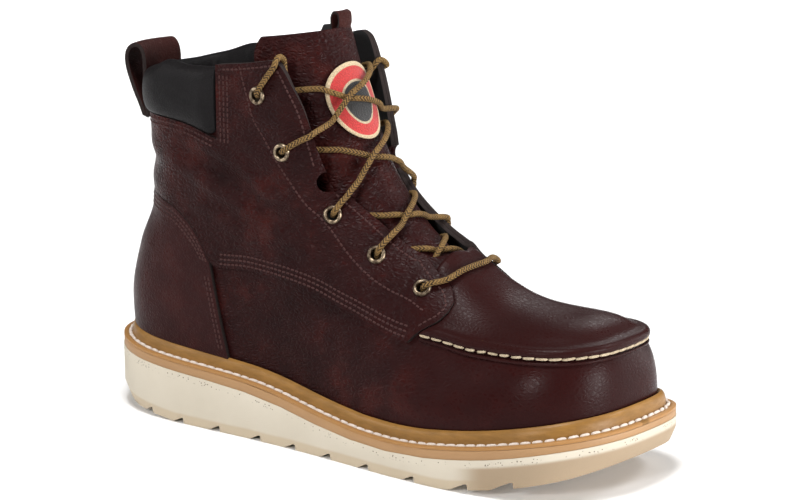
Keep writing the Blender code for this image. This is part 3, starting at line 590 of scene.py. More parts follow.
TURN_STEP, UP_STEP, NEAR_EDGE = 0.004, 0.01, 0.985


def on_last(turn, up, lift=0.0):
    """A point on the last, lifted off it along the surface's own outward direction."""
    near = min(max(up, UP_STEP), NEAR_EDGE)
    before = wall(section(turn - TURN_STEP), [near])[0]
    after = wall(section(turn + TURN_STEP), [near])[0]
    point, lower, higher = wall(section(turn), [up, near - UP_STEP, near + UP_STEP])
    away = np.cross(after - before, higher - lower)
    return point + away / np.linalg.norm(away) * lift


def on_side(side, along, height, lift=0.0):
    """A point on one side of the boot, lifted off the last."""
    turn = side_turn(side, along)
    return on_last(turn, up_at(section(turn), height), lift)


def skin(rows):
    """Points of the last in rows, each a turn and places up it, and the outward directions there."""
    points, outward = [], []
    for turn, ups in rows:
        near = np.clip(ups, UP_STEP, NEAR_EDGE)
        cut = section(turn)
        around = wall(section(turn + TURN_STEP), near) - wall(section(turn - TURN_STEP), near)
        away = np.cross(around, wall(cut, near + UP_STEP) - wall(cut, near - UP_STEP))
        away /= np.linalg.norm(away, axis=1)[:, None]
        if cut["opening"] == 0:
            slope = ridge_height(cut["middle"][0] + 0.5) - ridge_height(cut["middle"][0] - 0.5)
            away[np.asarray(ups) >= 1] = np.array([-slope, 0, 1]) / math.hypot(slope, 1)
        points.append(wall(cut, ups))
        outward.append(away)
    return np.array(points), np.array(outward)


# Folds that wear has put in the leather, on both sides: the two ends, half width and depth of each trough.
# A low rim stands on both sides of it.
FOLDS = table(
    "along height to_along to_height width depth",
    (62, 134, 104, 122, 4.4, 2.6),
    (88, 121, 128, 108, 4.6, 2.1),
    (78, 113, 112, 103, 3.6, 1.4),
    (104, 134, 127, 121, 3.0, 0.9),
    (100, 150, 118, 146, 4.0, 0.8),
    (132, 104, 160, 90, 4.0, 0.8),
    (118, 96, 150, 84, 5.0, 0.8),
    (206, 52, 226, 42, 6.0, 0.6),
    (196, 50, 214, 38, 5.0, 0.5),
    (20, 126, 44, 123, 5.0, 1.2),
)
FOLD_RIM, FOLD_RIM_AWAY = 0.45, 1.9


def folds_at(grid):
    """How far the folds lift each point of a grid, or press it in."""
    depth = np.zeros(grid.shape[:2])
    spot = grid[:, :, [0, 2]]
    for along, height, to_along, to_height, width, deep in zip(*FOLDS.values()):
        start, way = np.array([along, height]), np.array([to_along - along, to_height - height])
        share = np.clip(((spot - start) @ way) / (way @ way), 0, 1)
        away = np.linalg.norm(spot - start - share[..., None] * way, axis=2) / width
        fade = np.sin(np.pi * np.clip(share, 0.08, 0.92)) ** 0.6
        raised = FOLD_RIM * np.exp(-((away - FOLD_RIM_AWAY) ** 2))
        depth += deep * fade * (raised - np.exp(-(away**2)))
    return depth


def sheet(name, grid):
    """A grid of corners, moved to these points and merged where they meet."""
    rows, width = grid.shape[:2]
    bpy.ops.object.select_all(action="DESELECT")
    bpy.ops.mesh.primitive_grid_add(x_subdivisions=width - 1, y_subdivisions=rows - 1, size=1)
    made = bpy.context.object
    made.name = made.data.name = name
    made.data.vertices.foreach_set("co", in_frame(grid).reshape(-1))
    made.data.flip_normals()
    bpy.ops.object.mode_set(mode="EDIT")
    bpy.ops.mesh.select_all(action="SELECT")
    bpy.ops.mesh.remove_doubles(threshold=0.00003)
    bpy.ops.object.mode_set(mode="OBJECT")
    return made


def thicken(made, thickness, *looks, lining=0, rim=0):
    """Gives a sheet its materials and its thickness, inwards. Lining and rim say which of them those are."""
    for look in looks:
        made.data.materials.append(look)
    shape_with(
        made,
        "SOLIDIFY",
        thickness=thickness * MM,
        offset=-1,
        use_even_offset=False,
        material_offset=lining,
        material_offset_rim=rim,
    )


def leather_grain():
    """Pebbled leather: its relief, its crevices and its tone from patch to patch."""
    group = bpy.data.node_groups.new("leather_grain", "ShaderNodeTree")
    group.interface.new_socket("Pebbles", in_out="INPUT", socket_type="NodeSocketFloat")
    for name in ("Height", "Crevice", "Tone"):
        group.interface.new_socket(name, in_out="OUTPUT", socket_type="NodeSocketFloat")
    start, end = group.nodes.new("NodeGroupInput"), group.nodes.new("NodeGroupOutput")
    place = object_place(group)
    drift = wire(group, "TexNoise", {"Vector": place, "Scale": 210.0, "Detail": 2.0}).outputs["Color"]
    drift = wire(group, "VectorMath", {0: drift, 1: (0.5, 0.5, 0.5)}, operation="SUBTRACT").outputs[0]
    drift = wire(group, "VectorMath", {0: drift, "Scale": 0.0028}, operation="SCALE").outputs[0]
    warped = wire(group, "VectorMath", {0: place, 1: drift}, operation="ADD").outputs[0]
    warped = wire(group, "Mapping", {"Vector": warped, "Scale": (0.72, 0.85, 1.3)}).outputs[0]
    cells = {"Vector": warped, "Scale": start.outputs["Pebbles"]}
    edge = wire(group, "TexVoronoi", cells, feature="DISTANCE_TO_EDGE").outputs["Distance"]
    pebble = spread(group, edge, 0.0, 0.34)
    fine = noise(group, place, 2300, 3)
    height = maths(group, "ADD", maths(group, "MULTIPLY", pebble, 0.8), maths(group, "MULTIPLY", fine, 0.16))
    height = maths(group, "ADD", height, maths(group, "MULTIPLY", noise(group, warped, 190, 2), 1.7))
    broad = noise(group, place, 17, 4, 0.6)
    near = noise(group, place, 75, 4, 0.65)
    tone = maths(group, "ADD", maths(group, "MULTIPLY", broad, 0.6), maths(group, "MULTIPLY", near, 0.4))
    group.links.new(height, end.inputs["Height"])
    group.links.new(maths(group, "SUBTRACT", 1.0, pebble), end.inputs["Crevice"])
    group.links.new(spread(group, tone, 0.25, 0.75), end.inputs["Tone"])
    return group


GRAIN = leather_grain()


def leather_look(name, dark, middle, red, pebbles, depth, toe_depth, rough=0.29, shine=0.066):
    """Oiled leather in three tones, with its grain fading towards the toe and painted shade in its crevices.
    """
    look, tree, shader = new_look(name, Specular_IOR_Level=shine)
    grain = wire(tree, "Group", {}, node_tree=GRAIN)
    grain.inputs["Pebbles"].default_value = pebbles
    forward = wire(tree, "SeparateXYZ", {0: object_place(tree)}).outputs["X"]
    even = spread(tree, forward, 0.02, 0.08, 1.0, 0.3)
    tone = maths(tree, "SUBTRACT", grain.outputs["Tone"], 0.5)
    tone = maths(tree, "ADD", maths(tree, "MULTIPLY", tone, even), 0.5)
    stops = wire(tree, "ValToRGB", {"Fac": tone})
    stops.color_ramp.elements[0].color = (*dark, 1)
    stops.color_ramp.elements[1].color = (*red, 1)
    stops.color_ramp.elements.new(0.55).color = (*middle, 1)
    strength = spread(tree, forward, 0.0, 0.075, depth, toe_depth)
    # The grain's crevices, the low parts of its relief, are darkened towards near black: painted shade.
    painted_crevice_shade = maths(tree, "MULTIPLY", grain.outputs["Crevice"], maths(tree, "MULTIPLY", strength, 0.3))
    colour = blend(tree, painted_crevice_shade, stops.outputs["Color"], (0.008, 0.003, 0.003))
    tree.links.new(colour, shader.inputs["Base Color"])
    polish = spread(tree, grain.outputs["Tone"], 0.0, 1.0, rough + 0.08, rough - 0.06)
    polish = maths(tree, "ADD", polish, maths(tree, "MULTIPLY", grain.outputs["Crevice"], 0.12))
    tree.links.new(polish, shader.inputs["Roughness"])
    bump(tree, shader, maths(tree, "MULTIPLY", grain.outputs["Height"], strength), 0.8, 0.0007)
    return look


leather = leather_look(
    "burgundy_leather",
    (0.011, 0.0027, 0.0027),
    (0.021, 0.0045, 0.0042),
    (0.052, 0.0092, 0.007),
    pebbles=450,
    depth=0.62,
    toe_depth=0.08,
)
edge_look, tree, shader = new_look("cut_leather_edge", Roughness=0.8, Specular_IOR_Level=0.1)
fibres = noise(tree, object_place(tree), 900, 4)
tone = blend(tree, fibres, (0.009, 0.006, 0.0058), (0.036, 0.026, 0.024))
tree.links.new(tone, shader.inputs["Base Color"])
bump(tree, shader, fibres, 0.5, 0.0003)


def stations(*spans):
    """Places along the boot: each span starts where it says and goes on by its step to the next one."""
    found = []
    for (first, step), (last, _) in zip(spans, spans[1:]):
        count = max(int(round(abs(last - first) / step)), 1)
        found += list(np.linspace(first, last, count, endpoint=False))
    return found + [spans[-1][0]]


def eased(first, last, count):
    """Places from first to last, closest together at the first."""
    return list(first + (last - first) * np.linspace(0, 1, count) ** 2)


upper_stations = eased(FEATHER_TOE, 222, 46)[:-1]
upper_stations += stations(
    (222, 2), (THROAT, 1), (192, 2), (146, 1.1), (118, 2), (85.6, 0.8), (82.4, 2), (60, 0)
)
upper_stations += eased(FEATHER_HEEL, 60, 34)[-2::-1]
RIM_STEP = 84.2
RIM_BEHIND = table(
    "along height", (8, 166), (20, 166.5), (34, 168), (46, 170), (60, 172), (RIM_STEP, 173.5)
)
rim_behind = curve(RIM_BEHIND, "height")


def rim_height(side, along):
    """How high the shell's rim is: lower behind its step, where the collar pad folds over it."""
    behind = rim_behind(along) if along < RIM_STEP else edge_height(along)
    return behind + side_rise(side, along)


upper_rows = []
for side in (MEDIAL, LATERAL):
    for along in upper_stations[::side]:
        turn = side_turn(side, along)
        cut = section(turn)
        last = 1.0 if along >= THROAT else up_at(cut, rim_height(side, along))
        upper_rows.append((turn, np.linspace(0, last, 46)))
grid, away = skin(upper_rows)
upper = sheet("vamp_shell", grid + away * folds_at(grid)[:, :, None])
thicken(upper, WALL, leather, lining_look, edge_look, lining=1, rim=2)

# Punched holes: a hole for each eyelet goes through flap and upper, and a round notch opens the flap's edge
# between the second and third. They are cut while the leather is flat.
FLAP_FACE = 2.1
EYELETS = table(
    "along height", (109.9, 166.8), (124.1, 141.3), (148.1, 113.1), (171.6, 96.1), (197.8, 83.6)
)
EYELET_HOLE, NOTCH_RADIUS, PUNCH_LENGTH = 2.7, 4.6, 14
NOTCH = {LATERAL: (143.2, 128.0), MEDIAL: (141.6, 132.0)}
NOTCH_MOUTH = {LATERAL: (146.0, 133.0), MEDIAL: (144.4, 137.0)}


def flap_frame(side, along, height):
    """A place on a flap's outer face, in metres, with its Z axis out of the face."""
    point = on_side(side, along, height, FLAP_FACE)
    away = Vector(point - on_side(side, along, height))
    return Matrix.LocRotScale(Vector(in_frame(point)), away.to_track_quat("Z", "Y"), None)


punches = []
for side in (LATERAL, MEDIAL):
    holes = [(spot, spot, EYELET_HOLE) for spot in zip(*EYELETS.values())]
    for spot, mouth, radius in holes + [(NOTCH[side], NOTCH_MOUTH[side], NOTCH_RADIUS)]:
        bpy.ops.mesh.primitive_cylinder_add(vertices=24, radius=radius * MM, depth=PUNCH_LENGTH * MM)
        punches.append(bpy.context.object)
        face = flap_frame(side, *spot)
        stretch = (face.inverted() @ flap_frame(side, *mouth).translation).xy
        for corner in punches[-1].data.vertices:
            if corner.co.xy.dot(stretch) > 0:
                corner.co.xy = corner.co.xy + stretch
        punches[-1].matrix_world = face
pick(punches[0])
for made in punches:
    made.select_set(True)
bpy.ops.object.join()
punch = bpy.context.object
bpy.ops.object.transform_apply(location=True, rotation=True, scale=True)


def punch_holes(made):
    shape_with(made, "BOOLEAN", object=punch, operation="DIFFERENCE", solver="EXACT")


punch_holes(upper)
soften(upper, 0.5)
dress(upper, "burgundy_leather", replaces=["upper"])

# Counter: a stiff heel piece of the same leather, wrapped round the back over the shell and sewn down
# along its top and front edges.
HEEL_FACE, HEEL_THICKNESS = 2.3, 2.2
COUNTER_FRONT_LOW, COUNTER_FRONT_HIGH = 90.0, 78.5
COUNTER_TOP = table(
    "along height",
    (8, 108.5),
    (20, 108.5),
    (35, 108),
    (50, 105.7),
    (60, 101),
    (69.5, 93.7),
    (COUNTER_FRONT_HIGH, 81.5),
)
COUNTER_FOOT = 7.4
counter_top = curve(COUNTER_TOP, "height")
leather_smooth = leather_look(
    "burgundy_heel",
    (0.017, 0.0045, 0.0045),
    (0.027, 0.0066, 0.0063),
    (0.042, 0.0098, 0.0082),
    pebbles=680,
    depth=0.3,
    toe_depth=0.2,
)


def panel(name, grid, away, face, look, thickness):
    """A piece of leather sewn on the last's surface, its outer face this far off it."""
    made = sheet(name, grid + away * (face + folds_at(grid))[:, :, None])
    thicken(made, thickness, look, edge_look, rim=1)
    return made


def counter_place(step, level):
    """Turn and height of a place on the counter, by its share round it and up it."""
    side = LATERAL if step < 0 else MEDIAL
    ends = []
    for front, top in ((COUNTER_FRONT_LOW, False), (COUNTER_FRONT_HIGH, True)):
        turn = side * (1 - abs(step) * (1 - abs(side_turn(side, front))))
        foot = section(turn)["foot"]
        ends.append((turn, counter_top(foot) if top else midsole_top(foot) + COUNTER_FOOT))
    return [ends[0][i] + (ends[1][i] - ends[0][i]) * level for i in (0, 1)]


counter_grid = []
for step in np.linspace(1, -1, 111):
    row = []
    for level in np.linspace(0, 1, 37):
        turn, height = counter_place(step, level)
        cut = section(turn)
        row.append(wall(cut, [up_at(cut, height)])[0])
    counter_grid.append(row)
grid = np.array(counter_grid)
away = np.cross(np.gradient(grid, axis=0), np.gradient(grid, axis=1))
away /= np.linalg.norm(away, axis=2)[:, :, None]
counter = panel("heel_counter", grid, away, HEEL_FACE, leather_smooth, HEEL_THICKNESS)
soften(counter, 0.55)
dress(counter, "burgundy_leather", replaces=["counter"])

# Backstay: a narrow strip of the shaft's leather that covers the seam up the back, from counter to collar.
# It is laid flat over the seam and sewn down by one row of stitches on each side.
BACKSTAY_TURN = 0.026
COLLAR_FRONT = 83.2
COLLAR_LOW = table("along height", (8, 147.5), (25, 149.4), (45, 149.6), (61, 148.6), (COLLAR_FRONT, 143.4))
collar_low = curve(COLLAR_LOW, "height")
backstay_rows = []
for step in np.linspace(1, -1, 13):
    turn = (LATERAL if step < 0 else MEDIAL) * (1 - abs(step) * BACKSTAY_TURN)
    cut = section(turn)
    levels = np.linspace(counter_top(8) + 0.2, collar_low(8) - 0.2, 25)
    backstay_rows.append((turn, [up_at(cut, level) for level in levels]))
backstay = panel("heel_backstay", *skin(backstay_rows), HEEL_FACE, leather, HEEL_THICKNESS)
soften(backstay, 0.5)
dress(backstay, "burgundy_leather", replaces=["backstay"])

# Quarters: the two sides of the shaft with the eyelet flaps, each cut in one piece from thick pebbled
# leather, lapped over the vamp and ended in a tab beside the toe seam.
FLAP_THICKNESS = 2.0
TAB_BACK, TAB_FRONT = 192, 213.4
TAB_EDGE = table(
    "along height",
    (TAB_BACK, 96.1),
    (196.5, 92.6),
    (199, 90.9),
    (204, 87.5),
    (209, 83.8),
    (TAB_FRONT, 78.5),
)
QUARTER_LOW = table(
    "along height",
    (COUNTER_FRONT_HIGH, 82.3),
    (83, 80.2),
    (102.8, 81.6),
    (118, 80.9),
    (134.3, 79),
    (163.8, 70.3),
    (193.7, 61.8),
    (198.5, 61.2),
    (202, 64.8),
    (207, 68.6),
    (211, 71.4),
    (TAB_FRONT, 75),
)
tab_edge = curve(TAB_EDGE, "height")
quarter_low = curve(QUARTER_LOW, "height")


def flap_top(side, along):
    """How high a quarter's upper edge is."""
    if along < RIM_STEP:
        return collar_low(along) - 0.3
    if along > TAB_BACK:
        return tab_edge(along)
    return edge_height(along) + side_rise(side, along)


def flap_bottom(along):
    """How high a quarter's lower edge is."""
    return quarter_low(along) if along > COUNTER_FRONT_HIGH else counter_top(along) + 0.3


BEHIND_STEP = 83.9
quarter_stations = stations(
    (11.4, 2),
    (80, 1),
    (BEHIND_STEP, 0.3),
    (RIM_STEP, 1),
    (88, 2),
    (118, 0.9),
    (146, 1.6),
    (TAB_BACK, 0.9),
    (TAB_FRONT, 0),
)
quarters = {}
for side, word in ((LATERAL, "lateral"), (MEDIAL, "medial")):
    rows = []
    beside_collar = flap_top(side, BEHIND_STEP) - flap_bottom(RIM_STEP)
    beside_collar /= flap_top(side, RIM_STEP) - flap_bottom(RIM_STEP)
    for along in quarter_stations[::-side]:
        turn = side_turn(side, along)
        cut = section(turn)
        low, top = flap_bottom(along), flap_top(side, along)
        middle = top if along < RIM_STEP else low + (top - low) * beside_collar
        first, second, last = (up_at(cut, height) for height in (low, middle, top))
        rows.append((turn, np.append(np.linspace(first, second, 32), np.linspace(second, last, 18)[1:])))
    quarters[side] = panel(f"flap_{word}", *skin(rows), FLAP_FACE, leather, FLAP_THICKNESS)
    punch_holes(quarters[side])
    soften(quarters[side], 0.5)
    dress(quarters[side], "burgundy_leather", replaces=[f"quarter_{word}"])
bpy.data.objects.remove(punch, do_unlink=True)

# Moc toe: the plug is a separate piece on top of the toe. Its edge is rolled up along the seam and sewn
# by hand through the vamp's turned edge, which stands as a thin lip beside it.
PLUG_SEAM = table("along height", (196, 66), (213, 64), (235, 61.5), (260, 61.8), (280, 62.3), (293, 62.8))
PLUG_ROLL = table(
    "inward lateral medial",
    (0.0, 0.3, 0.3),
    (0.05, 2.2, 2.3),
    (0.5, 3.3, 3.6),
    (1.5, 4.0, 4.5),
    (2.7, 4.05, 4.6),
    (3.9, 3.4, 3.9),
    (5.2, 2.4, 2.8),
    (6.8, 1.7, 1.9),
    (10, 1.4, 1.5),
    (15, 1.4, 1.5),
    (22, 1.4, 1.4),
)
PLUG_BACK, LIP_BACK = 199.0, 203.0
TAB_FOOT, TAB_CORNER = 198, 76.5
UNDER_TAB, TAB_FADE, TOE_BLEND = 1.0, 6, 18
plug_seam = curve(PLUG_SEAM, "height")
plug_rolls = {LATERAL: curve(PLUG_ROLL, "lateral"), MEDIAL: curve(PLUG_ROLL, "medial")}
tab_top_along = curve(table("height along", *sorted((h, a) for a, h in zip(*TAB_EDGE.values()))), "along")
low_tab = [(h, a) for a, h in zip(*QUARTER_LOW.values()) if a >= TAB_FOOT]
tab_low_along = curve(table("height along", *low_tab), "along")


def ahead_of_tab(along, height):
    """How far ahead of the quarter's tab a place on the toe is."""
    front = np.where(height > TAB_CORNER, tab_top_along(height), tab_low_along(height))
    return along - front


plug_stations = eased(FEATHER_TOE, 222, 56)[:-1] + stations((222, 1.2), (PLUG_BACK, 0))
plug_inward = np.array([0, 0.05, 0.25, 0.5, 1, 1.5, 2.1, 2.7, 3.3, 3.9, 4.5, 5.2, 6, 6.8, 8, 9.5])
plug_rows = []
plug_lifts = []
for side in (LATERAL, MEDIAL):
    for along in plug_stations[::side]:
        turn = side_turn(side, along)
        cut = section(turn)
        ups = np.linspace(up_at(cut, plug_seam(along)), 1, 160)
        fine = wall(cut, ups)
        run = run_along(fine)
        inward = np.concatenate([plug_inward, np.linspace(11, run[-1], 24)])
        plug_rows.append((turn, np.interp(inward, run, ups)))
        clear = ahead_of_tab(along, np.interp(inward, run, fine[:, 2]))
        inner_share = 0.5 + 0.5 * side * min(max((FEATHER_TOE - along) / TOE_BLEND, 0), 1)
        roll = plug_rolls[LATERAL](inward) * (1 - inner_share) + plug_rolls[MEDIAL](inward) * inner_share
        near_tab = UNDER_TAB + (roll - UNDER_TAB) * np.clip(clear / TAB_FADE, 0, 1) ** 0.7
        lifts = np.where(clear > 0, near_tab, np.clip(UNDER_TAB + clear * 3, 0.02, UNDER_TAB))
        lifts[0] = min(lifts[0], 0.3)
        plug_lifts.append(lifts)
grid, away = skin(plug_rows)
plug = sheet("moc_plug", grid + away * np.array(plug_lifts)[:, :, None])
leather_toe = leather_look(
    "burgundy_toe",
    (0.014, 0.004, 0.004),
    (0.023, 0.006, 0.0056),
    (0.037, 0.009, 0.0075),
    pebbles=560,
    depth=0.16,
    toe_depth=0.08,
    rough=0.27,
)
thicken(plug, 0.4, leather_toe)
pick(plug)
bpy.ops.object.shade_smooth()
dress(plug, "burgundy_leather", replaces=["toe_plug"])

LIP = table(
    "down lift",
    (2.5, 0.05),
    (2.35, 0.8),
    (2.05, 1.25),
    (1.7, 1.35),
    (1.35, 1.2),
    (1.2, 0.7),
    (1.15, 0.05),
)
seam_places = [(LATERAL, along) for along in reversed(plug_stations) if along > LIP_BACK]
seam_places += [(MEDIAL, along) for along in plug_stations if along > LIP_BACK]
seam_places = seam_places[::2]
lip_rows = []
for side, along in seam_places:
    turn = side_turn(side, along)
    cut = section(turn)
    lip_rows.append(
        [on_last(turn, up_at(cut, plug_seam(along) - down), lift) for down, lift in zip(*LIP.values())]
    )
lip = sheet("vamp_lip", np.array(lip_rows))
thicken(lip, 0.3, leather_toe)
shape_with(lip, "SUBSURF", levels=1, render_levels=1)
pick(lip)
bpy.ops.object.shade_smooth()
dress(lip, "burgundy_leather")

# Stitching: twisted thread in straight rows, maroon on the panels, thick cream on the toe seam. Each
# stitch is one short swelling of thread that dips into the leather at both ends.
bpy.ops.mesh.primitive_uv_sphere_add(segments=8, ring_count=6, radius=1, rotation=(0, math.pi / 2, 0))
bpy.ops.object.transform_apply(rotation=True)
stitch = bpy.context.object
STITCH_CORNERS = np.array([corner.co for corner in stitch.data.vertices])
STITCH_CORNERS = np.sign(STITCH_CORNERS) * np.abs(STITCH_CORNERS) ** np.array([0.6, 0.85, 0.85])
STITCH_FACES = [np.array(face.vertices) for face in stitch.data.polygons]
bpy.data.objects.remove(stitch, do_unlink=True)


def surface_of(*pieces):
    """The surfaces of some pieces, to lay stitches on."""
    points, faces = [], []
    for made in pieces:
        start = len(points)
        points += [corner.co.copy() for corner in made.data.vertices]
        faces += [[start + corner for corner in face.vertices] for face in made.data.polygons]
    return BVHTree.FromPolygons(points, faces)


HAND_SLANT, HAND_SIZE = 6, 0.06


def sew(name, lines, ground, look, pitch, size, slant=0.0, sunk=0.25, uneven=0.0):
    """Rows of stitches along lines of points, laid on a surface. Size is length, width and height."""
    points, faces = [], []
    hand = np.random.default_rng(7)
    for line in lines:
        line = np.array(line)
        run = run_along(line)
        count = max(int(run[-1] / pitch), 1)
        for at in (np.arange(count) + 0.5) * run[-1] / count:
            spot = np.array([np.interp(at, run, line[:, i]) for i in range(3)])
            ahead = np.array([np.interp(at + 0.5, run, line[:, i]) for i in range(3)]) - spot
            found, normal, _, _ = ground.find_nearest(Vector(in_frame(spot)))
            normal = np.array(normal)
            ahead -= normal * (ahead @ normal)
            ahead /= max(np.linalg.norm(ahead), 1e-9)
            beside = np.cross(normal, ahead)
            turn_by = math.radians(slant + hand.normal(0, HAND_SLANT) * uneven)
            long, wide = 1 + hand.normal(0, HAND_SIZE, 2) * uneven
            ahead, beside = (
                ahead * math.cos(turn_by) + beside * math.sin(turn_by),
                beside * math.cos(turn_by) - ahead * math.sin(turn_by),
            )
            axes = np.array([ahead * size[0] * long / 2, beside * size[1] * wide / 2, normal * size[2]]) * MM
            middle = np.array(found) - normal * size[2] * sunk * MM
            faces += [list(face + len(points)) for face in STITCH_FACES]
            points += list(STITCH_CORNERS @ axes + middle)
    mesh = bpy.data.meshes.new(name)
    mesh.from_pydata(points, [], faces)
    made = bpy.data.objects.new(name, mesh)
    bpy.context.scene.collection.objects.link(made)
    pick(made)
    bpy.ops.object.shade_smooth()
    dress(made, None, look)


def thread_look(name, dark, light):
    """Spun thread, with its fibres and a little dirt."""
    look, tree, shader = new_look(name, Roughness=0.75, Specular_IOR_Level=0.2)
    place = object_place(tree)
    tree.links.new(blend(tree, noise(tree, place, 420, 4), dark, light), shader.inputs["Base Color"])
    bump(tree, shader, noise(tree, place, 3200, 2), 0.6, 0.0003)
    return look


maroon_thread = thread_look("maroon_thread", (0.026, 0.0105, 0.01), (0.075, 0.03, 0.027))
cream_thread = thread_look("cream_thread", (0.3, 0.225, 0.135), (0.6, 0.5, 0.36))

MAROON_PITCH, MAROON_SIZE = 2.5, (2.0, 1.05, 0.4)
ROWS_ABOVE_LOW_EDGE = (2.0, 4.3, 6.6)
ROWS_BELOW_COLLAR = (2.2, 4.6)
ROWS_AHEAD_OF_COLLAR = (2.4, 4.8, 7.2)
ROW_IN_FROM_FLAP_EDGE, CLEAR_OF_NOTCH = 2.6, 6.5
FACING = table(
    "along height",
    (99, 180),
    (103, 167.3),
    (108.3, 153.6),
    (117.4, 141.8),
    (129, 127.4),
    (137.1, 117.7),
    (145.7, 109.3),
    (161, 94),
    (175, 85),
    (184, 81.4),
    (193.6, 78.6),
    (202.2, 74.9),
)
facing_height = curve(FACING, "height")
panel_rows = []


def panel_row(side, places):
    """Adds a row of stitches on a flap's face, through places along it and their heights."""
    panel_rows.append([on_side(side, along, height, FLAP_FACE) for along, height in places])


for side in (LATERAL, MEDIAL):
    for up in ROWS_ABOVE_LOW_EDGE:
        panel_row(side, [(along, quarter_low(along) + up) for along in np.arange(85, 199, 2.5)])
    for down in ROWS_BELOW_COLLAR:
        panel_row(side, [(along, collar_low(along) - down) for along in np.arange(14, 84, 2.5)])
    for ahead in ROWS_AHEAD_OF_COLLAR:
        heights = np.arange(collar_low(83) - 2, edge_height(87) - 2, 3)
        panel_row(side, [(RIM_STEP + ahead, height) for height in heights])
    # Row along the flap's edge, set in from it, with a break at the notch
    top_alongs = np.concatenate([np.arange(88, 118, 2), np.arange(118, TAB_FRONT, 0.8)])
    rim = [(along, flap_top(side, along)) for along in top_alongs]
    rim += [(TAB_FRONT, 77), (TAB_FRONT, 75)]
    rim += [(along, quarter_low(along)) for along in np.arange(212.6, 203, -0.8)]
    way = np.gradient(np.array(rim), axis=0)
    way /= np.linalg.norm(way, axis=1)[:, None]
    inner = np.array(rim) + np.column_stack([way[:, 1], -way[:, 0]]) * ROW_IN_FROM_FLAP_EDGE
    inner = [spot for spot in inner if math.dist(spot, NOTCH[side]) > CLEAR_OF_NOTCH]
    breaks = [i for i in range(1, len(inner)) if math.dist(inner[i], inner[i - 1]) > 6]
    for first, last in zip([0] + breaks, breaks + [len(inner)]):
        panel_row(side, inner[first:last])
    # Row that holds the facing behind the eyelets
    panel_row(side, [(along, facing_height(along)) for along in np.arange(99, 203, 1.5)])
leather_ground = surface_of(upper, quarters[LATERAL], quarters[MEDIAL], counter, backstay)
sew("panel_stitches", panel_rows, leather_ground, maroon_thread, MAROON_PITCH, MAROON_SIZE)

ROWS_BELOW_COUNTER_TOP = (2.2, 4.5, 6.8)
ROWS_BEHIND_COUNTER_FRONT = (2.2, 4.4)
ROW_END, AT_FRONT = 0.008, 0.9999
BACKSTAY_ROW_TURN = 0.018
counter_rows = []
for down in ROWS_BELOW_COUNTER_TOP:
    row = []
    for step in np.linspace(-1 + down * ROW_END, 1 - down * ROW_END, 90):
        turn, height = counter_place(step, 1.0)
        row.append(on_last(turn, up_at(section(turn), height - down), HEEL_FACE))
    counter_rows.append(row)
for side in (LATERAL, MEDIAL):
    for inward in ROWS_BEHIND_COUNTER_FRONT:
        row = []
        for level in np.linspace(0.1, 0.86, 30):
            turn, height = counter_place(side * AT_FRONT, level)
            row.append(on_side(side, section(turn)["foot"] - inward, height, HEEL_FACE))
        counter_rows.append(row)
for side in (LATERAL, MEDIAL):
    turn = side * (1 - BACKSTAY_ROW_TURN)
    counter_rows.append(
        [on_last(turn, up_at(section(turn), height), HEEL_FACE) for height in np.arange(111, 146, 3)]
    )
sew("counter_stitches", counter_rows, leather_ground, maroon_thread, MAROON_PITCH, MAROON_SIZE)

TOE_ROW_DOWN, TOE_ROW_LIFT = 0.5, 1.7
toe_line = []
for side, along in seam_places:
    toe_line.append(on_side(side, along, plug_seam(along) - TOE_ROW_DOWN, TOE_ROW_LIFT))
sew(
    "toe_seam_stitches",
    [toe_line],
    surface_of(plug),
    cream_thread,
    pitch=6.0,
    size=(6.0, 1.5, 0.9),
    slant=10,
    sunk=-0.1,
    uneven=1,
)

# Welt: a strip of honey coloured leather all round the foot of the upper, with a raised bead against it.
# A thick white lockstitch in a groove beside the bead sews it to the midsole.
WELT_PROFILE = table(
    "across height",
    (0.0, 0.3),
    (0.965, 0.3),
    (1.0, 0.45),
    (1.0, 1.6),
    (0.95, 1.9),
    (0.72, 1.95),
    (0.64, 1.6),
    (0.54, 1.55),
    (0.48, 1.95),
    (0.46, 3.0),
    (0.43, 4.8),
    (0.36, 6.6),
    (0.26, 7.8),
    (0.14, 8.2),
    (0.04, 7.7),
    (0.0, 6.8),
)
welt_rows = []
stitch_line = []
for turn in np.linspace(-1, 1, 321):
    side = LATERAL if turn < 0 else MEDIAL
    edge = sole_point(side, abs(turn))
    cut = section(turn)
    row = []
    for across, height in zip(*WELT_PROFILE.values()):
        level = midsole_top(edge[0]) + height
        foot = on_last(turn, max(up_at(cut, level), 0.02), 0.15)
        far = np.array([*sole_point(side, abs(turn), 0.3), level])
        row.append(foot * (1 - across) + far * across + np.array([0, 0, (level - foot[2]) * (1 - across)]))
    welt_rows.append(row + row[:1])
    stitch_line.append((row[6] + row[7]) / 2)
welt = sheet("welt_strip", np.array(welt_rows))
honey_look, tree, shader = new_look("honey_welt", Specular_IOR_Level=0.22)
place = object_place(tree)
streak = noise(tree, wire(tree, "Mapping", {"Vector": place, "Scale": (1, 1, 4)}).outputs[0], 90, 5, 0.65)
tone = blend(tree, spread(tree, streak, 0.3, 0.7), (0.19, 0.092, 0.02), (0.255, 0.127, 0.031))
across_welt = number_at(tree, "across_welt")
tone = blend(tree, spread(tree, across_welt, 0.55, 0.8), tone, (0.34, 0.172, 0.058))
tree.links.new(tone, shader.inputs["Base Color"])
tree.links.new(spread(tree, streak, 0.2, 0.8, 0.5, 0.36), shader.inputs["Roughness"])
bump(tree, shader, maths(tree, "ADD", noise(tree, place, 1300, 3), streak), 0.25, 0.0003)
WELT_SHOWN = 8.0
welt_across = []
for along, across, height in corners_of(welt):
    side = LATERAL if across < 0 else MEDIAL
    line = SIDES[side][0]
    out = np.min(np.hypot(line[:, 0] - along, line[:, 1] - across))
    welt_across.append(1 - min(out / WELT_SHOWN, 1))
note(welt, "across_welt", welt_across)
pick(welt)
bpy.ops.object.shade_smooth_by_angle(angle=math.radians(50))
dress(welt, "honey_welt", honey_look, replaces=["welt"])
